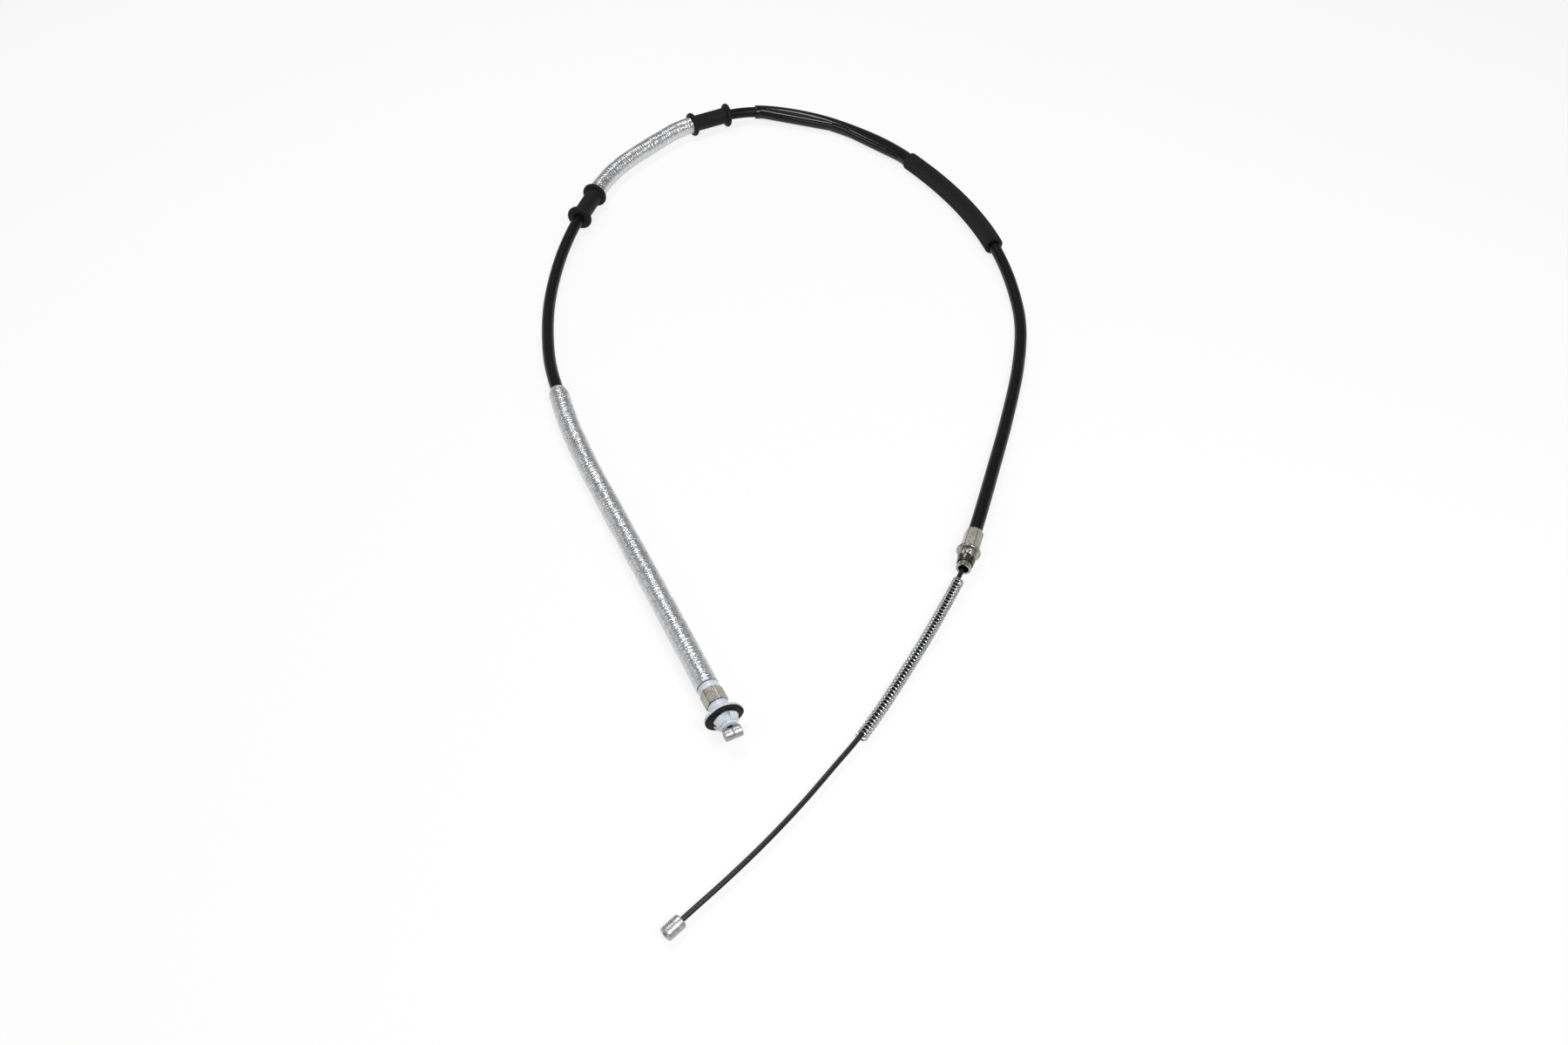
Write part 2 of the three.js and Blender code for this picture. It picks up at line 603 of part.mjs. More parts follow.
function rearFerrule() {
  const crimp = solid(hexagonalSleeve(
    REAR_CRIMP_CORNER_R, REAR_CRIMP_CHAMFER, REAR_CRIMP_START, HUB_START,
  ).rotateY(Math.PI / 6 - REAR_CRIMP_TURN));
  const edge = STOP_FLANGE_R - STOP_FLANGE_EDGE;
  const core = solid(turned([
    [0, STOP_FLANGE_START], [edge, STOP_FLANGE_START],
    [STOP_FLANGE_R, STOP_FLANGE_START + STOP_FLANGE_EDGE], [STOP_FLANGE_R, HUB_START - STOP_FLANGE_EDGE],
    [edge, HUB_START], [HUB_R - HUB_TOOTH_DEPTH, HUB_START], [HUB_R - HUB_TOOTH_DEPTH, NOSE_START],
    [NOSE_R, NOSE_START], [NOSE_R, NOSE_MOUTH - NOSE_LIP_LENGTH],
    [NOSE_LIP_R, NOSE_MOUTH - NOSE_LIP_LENGTH / 2], [NOSE_LIP_R, NOSE_MOUTH], [0, NOSE_MOUTH],
  ], TURNED_SIDES));
  const knurl = toothed(HUB_R, HUB_R - HUB_TOOTH_DEPTH, HUB_TEETH);
  const teeth = solid(prism(knurl, HUB_START - STOP_FLANGE_EDGE, NOSE_START));
  const seat = clearOf(JACKET_SEAT_R, TURNED_SIDES);
  const socket = rod(seat, REAR_CRIMP_START - CUT_PAST, JACKET_STOP, TURNED_SIDES);
  const mouth = NOSE_MOUTH + CUT_PAST;
  const bore = rod(clearOf(NOSE_BORE_R, TURNED_SIDES), REAR_CRIMP_START, mouth, TURNED_SIDES);
  const body = crimp.add(core).add(teeth).subtract(solid(socket)).subtract(solid(bore));
  add('rear_ferrule', laidAlong(casingRoute, geometryOf(body)), materials.platedSteel);
}

function rearRetainingClip() {
  const from = NOSE_START + SEAT_GAP;
  const to = from + CLIP_LENGTH;
  const ringStart = to - CLIP_RING_LENGTH;
  const ringBore = clearOf(NOSE_R + SEAT_GAP, TURNED_SIDES);
  const collar = solid(turned([
    [CLIP_TIP_R - CLIP_WALL, from], [CLIP_TIP_R, from], [ringBore + CLIP_WALL, ringStart],
    [ringBore + CLIP_WALL, to], [ringBore, to], [ringBore, ringStart],
  ], TURNED_SIDES));
  let body = collar;
  for (let i = 0; i < CLIP_FINGERS / 2; i += 1) {
    const length = ringStart - from;
    const slot = new THREE.BoxGeometry(3 * CLIP_TIP_R, 2 * length, CLIP_SLOT_WIDTH)
      .translate(0, from, 0)
      .rotateY(2 * Math.PI * i / CLIP_FINGERS);
    body = body.subtract(solid(slot));
  }
  add('rear_retaining_clip', laidAlong(casingRoute, geometryOf(body)), materials.springSteel);
}

// The spring hangs on the wire, so its middle lies below the wire's.
function returnSpring() {
  const innerR = (SPRING_R - SPRING_WIRE_R) * Math.cos(Math.PI / SPRING_STEPS_PER_TURN) - SPRING_WIRE_R;
  const hang = innerR - WIRE_R - SEAT_GAP;
  const geometry = new THREE.ExtrudeGeometry(new THREE.Shape(polygon(SPRING_WIRE_R, SPRING_SIDES)), {
    steps: SPRING_TURNS * SPRING_STEPS_PER_TURN,
    extrudePath: new Coil(wireRoute, SPRING_START, hang),
  });
  add('return_spring', geometry, materials.springSteel);
}

function rearNipple() {
  const start = REAR_NIPPLE_START;
  const end = start + REAR_NIPPLE_LENGTH;
  const inner = REAR_NIPPLE_R - REAR_NIPPLE_CHAMFER;
  const barrel = solid(turned([
    [0, start], [inner, start], [REAR_NIPPLE_R, start + REAR_NIPPLE_CHAMFER],
    [REAR_NIPPLE_R, end - REAR_NIPPLE_CHAMFER], [inner, end], [0, end],
  ], TURNED_SIDES));
  const gate = new THREE.BoxGeometry(2 * REAR_NIPPLE_GATE, 2 * REAR_NIPPLE_GATE, REAR_NIPPLE_GATE)
    .translate(0, end, 0);
  const bore = rod(clearOf(WIRE_R + SEAT_GAP, BORE_SIDES), start - CUT_PAST, BARE_WIRE_END + SEAT_GAP);
  const body = barrel.add(solid(gate)).subtract(solid(bore));
  add('rear_nipple', laidAlong(wireRoute, geometryOf(body)), materials.zinc);
}

casing();
innerWire();
frontNipple();
frontMountingBody();
frontGasket();
frontCrimpFerrule();
sealRing();
heatSleeves();
grommet('grommet_first', FIRST_GROMMET_START);
grommet('grommet_second', SECOND_GROMMET_START);
glossSleeve();
ribbedSleeve();
rearFerrule();
rearRetainingClip();
returnSpring();
rearNipple();

export default cable;
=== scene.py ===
"""Hand brake cable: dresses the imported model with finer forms, finishes, light and camera.

The file is laid out as an add-on and run as a script. All sizes are in metres, in the model's frame.
"""
import math
from functools import cache

import bmesh
import bpy
import numpy as np
from bpy.props import FloatProperty, FloatVectorProperty, IntProperty, PointerProperty
from mathutils import Matrix, Vector, noise


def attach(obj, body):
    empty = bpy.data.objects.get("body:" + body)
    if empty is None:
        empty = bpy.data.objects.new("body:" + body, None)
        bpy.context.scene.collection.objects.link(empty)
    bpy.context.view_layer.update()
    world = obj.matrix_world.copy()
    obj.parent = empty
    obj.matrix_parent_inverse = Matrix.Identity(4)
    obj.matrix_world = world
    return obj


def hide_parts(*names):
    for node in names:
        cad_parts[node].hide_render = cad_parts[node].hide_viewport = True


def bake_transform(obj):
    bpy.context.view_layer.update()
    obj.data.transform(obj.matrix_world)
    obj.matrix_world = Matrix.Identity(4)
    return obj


bl_info = {
    "name": "Hand brake cable",
    "version": (1, 0, 0),
    "blender": (4, 5, 0),
    "location": "3D View > Sidebar > Brake cable",
    "description": "Builds a dressed hand brake cable in a plain studio",
    "category": "Object",
}

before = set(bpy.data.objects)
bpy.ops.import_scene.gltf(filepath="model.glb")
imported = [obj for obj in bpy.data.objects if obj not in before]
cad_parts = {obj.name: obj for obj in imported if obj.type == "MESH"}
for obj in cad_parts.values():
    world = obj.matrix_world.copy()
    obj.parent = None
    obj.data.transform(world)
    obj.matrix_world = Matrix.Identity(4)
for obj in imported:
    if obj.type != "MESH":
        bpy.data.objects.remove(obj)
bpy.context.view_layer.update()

# Route of the casing, from the middle of the front nipple to the mouth of the rear ferrule
CASING_ROUTE = [
    (-0.0275, -0.2765, 0.0102), (-0.0475, -0.236, 0.0102), (-0.0574, -0.2156, 0.0102),
    (-0.0867, -0.1546, 0.0086), (-0.1113, -0.1037, 0.00745), (-0.1302, -0.0649, 0.00745),
    (-0.147, -0.0268, 0.0075), (-0.1594, 0.0082, 0.0077), (-0.1705, 0.0451, 0.006),
    (-0.1777, 0.089, 0.0047), (-0.1799, 0.125, 0.0047), (-0.1776, 0.167, 0.0066),
    (-0.1727, 0.1969, 0.009), (-0.1671, 0.2205, 0.0103), (-0.1581, 0.2529, 0.0103),
    (-0.1489, 0.2807, 0.0098), (-0.1373, 0.3025, 0.0096), (-0.1172, 0.3288, 0.0096),
    (-0.0964, 0.3524, 0.0099), (-0.0813, 0.3636, 0.0103), (-0.0531, 0.3789, 0.0103),
    (-0.027, 0.3878, 0.0086), (-0.002, 0.3877, 0.007), (0.0325, 0.377, 0.0061),
    (0.0656, 0.3561, 0.0061), (0.0956, 0.3276, 0.0073), (0.1243, 0.2884, 0.0077),
    (0.1479, 0.2465, 0.0077), (0.1651, 0.2019, 0.0081), (0.1754, 0.162, 0.0064),
    (0.1803, 0.118, 0.0047), (0.1796, 0.086, 0.0046), (0.1723, 0.0418, 0.0046),
    (0.158, -0.0126, 0.0047), (0.1427, -0.0631, 0.0058), (0.1288, -0.1079, 0.00785),
    (0.1182, -0.1399, 0.00785), (0.1136, -0.1539, 0.00785),
]

# Route of the bare rear stretch of the wire, from inside the rear ferrule to the end of the nipple
WIRE_ROUTE = [
    (0.1199, -0.1349, 0.00785), (0.1152, -0.1483, 0.0078), (0.1112, -0.158, 0.0074),
    (0.1076, -0.1655, 0.0071), (0.0959, -0.1887, 0.0063), (0.0837, -0.2112, 0.0055),
    (0.0713, -0.2322, 0.0049), (0.0588, -0.2527, 0.0046), (0.0431, -0.2759, 0.0045),
    (0.03, -0.2929, 0.0044), (0.0107, -0.3176, 0.00425), (-0.0087, -0.3403, 0.00415),
    (-0.0281, -0.361, 0.0041), (-0.0475, -0.3803, 0.0041), (-0.0591, -0.392, 0.0041),
]

# Places along the casing's route, counted from the middle of the front nipple
NIPPLE_CENTRE = 0.0006
SNOUT_TIP = 0.0044
GASKET_FRONT = 0.0110
GASKET_BACK = 0.0132
FLANGE_FRONT = 0.0135
FLANGE_BACK = 0.0150
COLLAR_START = 0.0168
COLLAR_END = 0.0212
CASING_START = 0.0155
FRONT_CRIMP = (0.0215, 0.0310)
SEAL_RING = (0.0313, 0.0353)
LONG_SLEEVE = (0.0356, 0.3186)
FIRST_GROMMET = (0.5285, 0.5665)
SHORT_SLEEVE = (0.5668, 0.6992)
SECOND_GROMMET = (0.6995, 0.7375)
GLOSS_SLEEVE = (0.7625, 0.9265)
RIBBED_SLEEVE = (0.9268, 1.0648)

# Places on the rear ferrule, counted back from its mouth
NOSE_LIP_START = 0.0014
NOSE_START = 0.0096
HUB_END = 0.0104
HUB_SHOULDER = 0.0118
HUB_START = 0.0138
BORE_END = 0.0155
SOCKET_END = 0.0157
STOP_START = 0.0160
REAR_CRIMP_START = 0.0326
CLIP_START = 0.0093
CLIP_LENGTH = 0.0050
CLIP_BAND = 0.0014

# Places on the bare wire, counted from the start of its route
SPRING_START = 0.0295
SPRING_LENGTH = 0.130
NIPPLE_LENGTH = 0.011
WIRE_DEPTH = 0.007

# Reach of the wire's front end along the casing's route
FRONT_STUB = (-0.001, 0.044)

# Radii of bores and sockets
WIRE_HOLE = 0.00195
NOSE_BORE = 0.0034
JACKET_BORE = 0.0039
GLOSS_BORE = 0.0046
CRIMP_BORE = 0.0047
GROMMET_BORE = 0.0047
BODY_BORE = 0.0048
RIBBED_BORE = 0.0049
FOIL_BORE = 0.0052
GASKET_BORE = 0.0072

# Outer radii of the front fitting
SNOUT_MOUTH_RADIUS = 0.005
SNOUT_TIP_RADIUS = 0.0056
SNOUT_RADIUS = 0.0069
FLARE_RADIUS = 0.0086
COLLAR_RADIUS = 0.0063
SEAL_RADIUS = 0.0066

# Snap lugs of the front fitting
LUG_ANGLES = (45, 135, 225, 315)
LUG_ARC = 58
LUG_LENGTH = 0.0048
LUG_TO_GASKET = 0.0006
LUG_ROOT_RADIUS = 0.0048
LUG_FOOT_RADIUS = 0.0058
LUG_RADIUS = 0.008

# Turns of the hexagonal crimps, and the arc of a finger of the clip, in degrees
FRONT_CRIMP_TURN = 14
REAR_CRIMP_TURN = -9
CLIP_FINGER_ARC = 45

CLIP_FINGERS = 6
HUB_TEETH = 22
HUB_TOOTH_DEPTH = 0.0003

# Numbers of sides of round and oval forms
ROUND_SIDES = 56
OVAL_SIDES = 96

# Share of the floor that is seen as plain white; the rest keeps the shadows
FLOOR_GLOW = 0.82


class Route:
    """A centripetal Catmull-Rom line through points, on which places are counted in metres."""

    def __init__(self, points):
        self.points = [np.array(point, float) for point in points]
        start = 2 * self.points[0] - self.points[1]
        end = 2 * self.points[-1] - self.points[-2]
        held = [start, *self.points, end]
        samples = [self.points[0]]
        for four in zip(held, held[1:], held[2:], held[3:]):
            samples.extend(self.span(*four))
        self.samples = np.array(samples)
        steps = np.linalg.norm(np.diff(self.samples, axis=0), axis=1)
        self.places = np.concatenate([[0], np.cumsum(steps)])
        self.length = float(self.places[-1])

    @staticmethod
    def span(a, b, c, d, count=60):
        before, within, after = (np.linalg.norm(q - p) ** 0.5 for p, q in ((a, b), (b, c), (c, d)))
        leaving = ((b - a) / before - (c - a) / (before + within) + (c - b) / within) * within
        arriving = ((c - b) / within - (d - b) / (within + after) + (d - c) / after) * within
        points = []
        for i in range(1, count + 1):
            t = i / count
            points.append(
                (2 * t**3 - 3 * t**2 + 1) * b
                + (t**3 - 2 * t**2 + t) * leaving
                + (3 * t**2 - 2 * t**3) * c
                + (t**3 - t**2) * arriving
            )
        return points

    def tangent(self, place):
        reach = 0.0012
        low = min(max(place - reach, 0), self.length - 2 * reach)
        return (self.raw(low + 2 * reach) - self.raw(low)).normalized()

    def raw(self, place):
        return Vector([np.interp(place, self.places, self.samples[:, k]) for k in range(3)])

    def point(self, place):
        """The point at a place. Past either end the line goes straight on."""
        held = min(max(place, 0), self.length)
        return self.raw(held) + (place - held) * self.tangent(place)

    def at(self, place):
        """The point, the level sideways direction, the direction square to both, and the tangent."""
        tangent = self.tangent(place)
        side = tangent.cross(Vector((0, 0, 1))).normalized()
        return self.point(place), side, side.cross(tangent), tangent

    def line(self, start, end, step):
        count = max(2, round((end - start) / step))
        return [self.point(start + (end - start) * i / count) for i in range(count + 1)]


class Axis:
    """A straight line with the same calls as a route."""

    def __init__(self, origin, side, up, along):
        self.origin, self.side, self.up, self.along = origin, side, up, along

    def at(self, place):
        return self.origin + place * self.along, self.side, self.up, self.along


casing_route = Route(CASING_ROUTE)
wire_route = Route(WIRE_ROUTE)
MOUTH = casing_route.length
NIPPLE_START = wire_route.length - NIPPLE_LENGTH


# Meshes


def piece(name, build, material, body, nodes=(), sharp=35):
    """Makes an object from a bmesh, with its finish, and hangs it on a body if one is named."""
    bmesh.ops.recalc_face_normals(build, faces=build.faces)
    mesh = bpy.data.meshes.new(name)
    build.to_mesh(mesh)
    build.free()
    mesh.shade_smooth()
    mesh.set_sharp_from_angle(angle=math.radians(sharp))
    mesh.materials.append(material)
    obj = bpy.data.objects.new(name, mesh)
    bpy.context.scene.collection.objects.link(obj)
    if body:
        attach(obj, body)
    if nodes:
        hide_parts(*nodes)
    return obj


def turned(build, line, profile, sides=48, shape=None, closed=True, start_angle=-90.0, arc=360.0):
    """Adds a form turned about a line, from (radius, place) pairs. A closed profile ends where it
    starts. An open one is closed by flat ends. shape(angle, radius, place) may change a radius."""
    layer = build.loops.layers.uv.get("along") or build.loops.layers.uv.new("along")
    whole = arc >= 360.0
    count = sides if whole else sides + 1
    angles = [math.radians(start_angle + arc * j / sides) for j in range(count)]
    rings = []
    for radius, place in profile:
        centre, side, up, _ = line.at(place)
        ring = []
        for angle in angles:
            reach = shape(angle, radius, place) if shape else radius
            ring.append(build.verts.new(centre + reach * (math.cos(angle) * side + math.sin(angle) * up)))
        rings.append(ring)
    pairs = list(zip(range(len(rings)), range(1, len(rings))))
    if closed:
        pairs.append((len(rings) - 1, 0))
    for low, high in pairs:
        for j in range(sides):
            k = (j + 1) % count if whole else j + 1
            face = build.faces.new((rings[low][j], rings[low][k], rings[high][k], rings[high][j]))
            corners = ((low, j), (low, j + 1), (high, j + 1), (high, j))
            for loop, (ring, column) in zip(face.loops, corners):
                loop[layer].uv = (column / sides, profile[ring][1])
    if not closed:
        build.faces.new(rings[0])
        build.faces.new(rings[-1][::-1])
    if not whole and closed:
        build.faces.new([ring[0] for ring in rings])
        build.faces.new([ring[-1] for ring in rings][::-1])
    return build


def eased(profile, amount, steps=3, closed=True):
    """Rounds the corners of a profile by an amount, or less where an edge is short."""
    count = len(profile)
    result = []
    for i, corner in enumerate(profile):
        if not closed and i in (0, count - 1):
            result.append(corner)
            continue
        here = Vector(corner)
        before = Vector(profile[i - 1]) - here
        after = Vector(profile[(i + 1) % count]) - here
        start = here + before * min(amount / max(before.length, 1e-9), 0.45)
        end = here + after * min(amount / max(after.length, 1e-9), 0.45)
        for k in range(steps + 1):
            t = k / steps
            result.append(tuple((1 - t) ** 2 * start + 2 * t * (1 - t) * here + t**2 * end))
    return result


def tube_profile(radius, bore, start, end, step):
    """A closed profile of a tube, with rings at least every step along its outside and bore."""
    count = max(1, round((end - start) / step))
    places = [start + (end - start) * i / count for i in range(count + 1)]
    return [(radius, place) for place in places] + [(bore, place) for place in reversed(places)]


def hexagonal(corner_radius, turn=0.0):
    """A radius that makes a round form hexagonal, with its corners turned away at corner_radius."""

    def shape(angle, radius, place):
        within = (angle - math.radians(turn)) % (math.pi / 3) - math.pi / 6
        flat = corner_radius * math.cos(math.pi / 6)
        return min(radius, flat / math.cos(within))

    return shape


def toothed(count, depth):
    """A radius with pressed teeth, full at the tips."""

    def shape(angle, radius, place):
        wave = abs((angle * count / (2 * math.pi)) % 1 - 0.5) * 2
        return radius - depth * (1 - min(1, wave * 1.7))

    return shape


def pointed_oval(half_width, half_height, sharpness=1.75):
    """Scales a radius of 1 to an oval drawn out to blunt points at its sides."""

    def shape(angle, radius, place):
        across = (abs(math.cos(angle)) / half_width) ** sharpness
        upright = (abs(math.sin(angle)) / half_height) ** sharpness
        return radius * (across + upright) ** (-1 / sharpness)

    return shape


# Finishes


def linear(code):
    """An sRGB hex value as a linear colour."""
    channels = [int(code[i : i + 2], 16) / 255 for i in (1, 3, 5)]
    return [c / 12.92 if c <= 0.04045 else ((c + 0.055) / 1.055) ** 2.4 for c in channels] + [1.0]


def add(tree, kind, settings=None, **inputs):
    """Adds a node with its settings. Inputs are given by name, as values or as other sockets."""
    node = tree.nodes.new(kind)
    for name, value in (settings or {}).items():
        setattr(node, name, value)
    for name, value in inputs.items():
        key = int(name[1:]) if name[0] == "_" else name.replace("_", " ")
        if isinstance(value, bpy.types.NodeSocket):
            tree.links.new(value, node.inputs[key])
        else:
            node.inputs[key].default_value = value
    return node


def arithmetic(tree, operation, *values, clamp=False):
    """The outcome of an operation on sockets and numbers."""
    settings = {"operation": operation, "use_clamp": clamp}
    inputs = {f"_{i}": value for i, value in enumerate(values)}
    return add(tree, "ShaderNodeMath", settings, **inputs).outputs["Value"]


def coloured(tree, shader, factor, *stops):
    """Colours the surface by two (position, colour) stops, each colour a hex value or linear."""
    node = add(tree, "ShaderNodeValToRGB", Fac=factor)
    for element, (position, code) in zip(node.color_ramp.elements, stops):
        element.position = position
        element.color = linear(code) if isinstance(code, str) else (*code, 1.0)
    tree.links.new(node.outputs["Color"], shader.inputs["Base Color"])


def finish(name, **inputs):
    """A new material with its shader, and coordinates in millimetres."""
    material = bpy.data.materials.new(name)
    material.use_nodes = True
    tree = material.node_tree
    tree.nodes.clear()
    shader = add(tree, "ShaderNodeBsdfPrincipled", **inputs)
    add(tree, "ShaderNodeOutputMaterial", Surface=shader.outputs["BSDF"])
    where = add(tree, "ShaderNodeTexCoord").outputs["Object"]
    scaled = add(tree, "ShaderNodeVectorMath", {"operation": "SCALE"}, _0=where, Scale=1000.0)
    return material, tree, shader, scaled.outputs["Vector"]


def grain(tree, where, size, detail=3.0, roughness=0.5):
    """Noise with lumps of about the given size in millimetres."""
    return add(
        tree, "ShaderNodeTexNoise", Vector=where, Scale=1.0 / size, Detail=detail, Roughness=roughness
    ).outputs["Fac"]


def roughened(tree, shader, factor, low, high):
    """Varies the roughness from low to high with a factor."""
    node = add(tree, "ShaderNodeMapRange", Value=factor, _1=0.3, _2=0.7, _3=low, _4=high)
    tree.links.new(node.outputs["Result"], shader.inputs["Roughness"])


def relief(tree, shader, height, depth, under=None):
    """Raises the surface by a height of 0 to 1 over a depth in metres."""
    inputs = {"Height": height, "Distance": depth, "Strength": 1.0}
    if under is not None:
        inputs["Normal"] = under
    bump = add(tree, "ShaderNodeBump", **inputs)
    tree.links.new(bump.outputs["Normal"], shader.inputs["Normal"])
    return bump.outputs["Normal"]


def along(tree):
    """The angle round a piece, from 0 to 1, and the place along it in millimetres."""
    uv = add(tree, "ShaderNodeUVMap", {"uv_map": "along"}).outputs["UV"]
    parts = add(tree, "ShaderNodeSeparateXYZ", Vector=uv)
    return parts.outputs["X"], arithmetic(tree, "MULTIPLY", parts.outputs["Y"], 1000.0)


def extruded_polypropylene(colour):
    """Black polypropylene drawn over the armour: satin, with long soft highlights."""
    material, tree, shader, where = finish(
        "Extruded black polypropylene", IOR=1.49, Specular_IOR_Level=0.18
    )
    tone = grain(tree, where, 9.0)
    coloured(tree, shader, tone, (0.3, "#060607"), (0.75, colour))
    roughened(tree, shader, grain(tree, where, 4.0), 0.3, 0.44)
    fine = relief(tree, shader, grain(tree, where, 0.5), 0.00002)
    relief(tree, shader, grain(tree, where, 14.0, 1.0), 0.0004, fine)
    return material


@cache
def shrunk_polyolefin():
    """Black polyolefin shrunk on by heat: glossy, gently uneven."""
    material, tree, shader, where = finish(
        "Shrunk black polyolefin", IOR=1.5, Specular_IOR_Level=0.35
    )
    tone = grain(tree, where, 6.0)
    coloured(tree, shader, tone, (0.3, "#050506"), (0.8, "#0B0B0C"))
    roughened(tree, shader, grain(tree, where, 3.0), 0.1, 0.18)
    relief(tree, shader, grain(tree, where, 7.0, 1.0), 0.0001)
    return material


@cache
def moulded_rubber():
    """Moulded black EPDM: matt, finely grained, with a faint grey bloom."""
    material, tree, shader, where = finish(
        "Moulded black EPDM rubber", IOR=1.52, Specular_IOR_Level=0.25
    )
    bloom = grain(tree, where, 5.0, 5.0, 0.65)
    coloured(tree, shader, bloom, (0.3, "#060606"), (0.8, "#0E0E0E"))
    roughened(tree, shader, grain(tree, where, 1.2), 0.55, 0.75)
    relief(tree, shader, grain(tree, where, 0.35, 4.0), 0.00005)
    return material


@cache
def extruded_rubber():
    """Extruded black rubber: matt, with fine drawing lines along it."""
    material, tree, shader, where = finish(
        "Extruded black EPDM rubber", IOR=1.52, Specular_IOR_Level=0.3
    )
    bloom = grain(tree, where, 8.0, 5.0, 0.6)
    coloured(tree, shader, bloom, (0.3, "#060607"), (0.8, "#0E0E0F"))
    roughened(tree, shader, grain(tree, where, 1.5), 0.55, 0.72)
    relief(tree, shader, grain(tree, where, 0.4), 0.00004)
    return material


@cache
def crinkled_foil():
    """Aluminium foil laminate wound over glass fibre: bright, with sharp fine crinkles."""
    material, tree, shader, where = finish("Crinkled aluminium foil", Metallic=1.0)
    stain = grain(tree, where, 3.0, 4.0)
    coloured(tree, shader, stain, (0.3, "#C4C6C8"), (0.7, "#E6E7E8"))
    roughened(tree, shader, grain(tree, where, 1.2), 0.2, 0.34)
    angle, place = along(tree)
    stretched = add(tree, "ShaderNodeCombineXYZ", X=place, Y=angle)
    # Crinkles about 1.1 mm apart along the sleeve and many times longer round it
    scaled = add(
        tree, "ShaderNodeVectorMath", {"operation": "MULTIPLY"}, _0=stretched.outputs["Vector"],
        _1=(0.9, 7.0, 1)
    )
    crease = add(tree, "ShaderNodeTexNoise", Vector=scaled.outputs["Vector"], Scale=1.0, Detail=3.0)
    fine = relief(tree, shader, crease.outputs["Fac"], 0.0011)
    relief(tree, shader, grain(tree, where, 0.8, 4.0), 0.00012, fine)
    return material


@cache
def natural_nylon():
    """Uncoloured moulded nylon 6: milky, bluish white, lit a little from inside."""
    material, tree, shader, where = finish(
        "Natural moulded nylon", IOR=1.53, Subsurface_Weight=0.6, Subsurface_Scale=0.002,
        Subsurface_Radius=(1.0, 1.1, 1.25)
    )
    tone = grain(tree, where, 4.0)
    coloured(tree, shader, tone, (0.3, "#BEC8D1"), (0.7, "#D9DEE3"))
    roughened(tree, shader, grain(tree, where, 2.0), 0.3, 0.42)
    relief(tree, shader, grain(tree, where, 1.5), 0.00006)
    return material


@cache
def zinc_plated_steel():
    """Turned and crimped steel with bright zinc: fine turning lines and soft blotches."""
    material, tree, shader, where = finish("Bright zinc plated steel", Metallic=1.0)
    blotch = grain(tree, where, 2.5, 4.0)
    coloured(tree, shader, blotch, (0.3, "#96948D"), (0.7, "#B4B1A8"))
    roughened(tree, shader, grain(tree, where, 0.9), 0.22, 0.32)
    _, place = along(tree)
    # Turning lines about 0.25 mm apart
    lines = add(tree, "ShaderNodeTexNoise", {"noise_dimensions": "1D"}, W=place, Scale=4.0, Detail=2.0)
    fine = relief(tree, shader, lines.outputs["Fac"], 0.00001)
    relief(tree, shader, grain(tree, where, 1.0), 0.00001, fine)
    return material


@cache
def drawn_spring_steel():
    """Bright drawn spring wire, rubbed along its length."""
    material, tree, shader, where = finish("Drawn spring steel", Metallic=1.0)
    stain = grain(tree, where, 3.0)
    coloured(tree, shader, stain, (0.3, "#96989A"), (0.7, "#C4C6C8"))
    roughened(tree, shader, grain(tree, where, 0.7), 0.16, 0.3)
    relief(tree, shader, grain(tree, where, 0.3), 0.00001)
    return material


@cache
def blackened_spring_steel():
    """Spring steel strip blackened in hot oil: dark brown-grey, worn brighter in patches."""
    material, tree, shader, where = finish("Oil blackened spring steel", Metallic=1.0)
    wear = grain(tree, where, 1.5, 4.0)
    coloured(tree, shader, wear, (0.3, "#3B3935"), (0.75, "#6E6B63"))
    roughened(tree, shader, grain(tree, where, 0.6), 0.2, 0.34)
    relief(tree, shader, grain(tree, where, 0.4), 0.00001)
    return material


@cache
def die_cast_zinc():
    """Die-cast zinc as it leaves the mould: pale grey, slightly rough skin with flow marks."""
    material, tree, shader, where = finish("Die-cast zinc", Metallic=1.0)
    flow = grain(tree, where, 2.0, 5.0, 0.6)
    coloured(tree, shader, flow, (0.3, "#8E9193"), (0.7, "#C0C2C3"))
    roughened(tree, shader, grain(tree, where, 0.8), 0.3, 0.48)
    fine = relief(tree, shader, grain(tree, where, 0.3, 4.0), 0.00004)
    relief(tree, shader, grain(tree, where, 2.2), 0.0002, fine)
    return material


@cache
def nylon_coated_strand():
    """Steel strand drawn through black nylon 11: the wires show through as a faint long twist."""
    material, tree, shader, where = finish("Nylon coated steel strand", IOR=1.53, Specular_IOR_Level=0.35)
    tone = grain(tree, where, 3.0)
    coloured(tree, shader, tone, (0.3, "#060607"), (0.8, "#0E0E0F"))
    roughened(tree, shader, grain(tree, where, 1.5), 0.2, 0.32)
    angle, place = along(tree)
    # Twelve outer wires with a lay of 26 mm
    turn = arithmetic(tree, "MULTIPLY_ADD", place, 1 / 26, angle)
    wires = arithmetic(tree, "MULTIPLY", turn, 12 * math.tau)
    relief(tree, shader, arithmetic(tree, "SINE", wires), 0.000003)
    return material


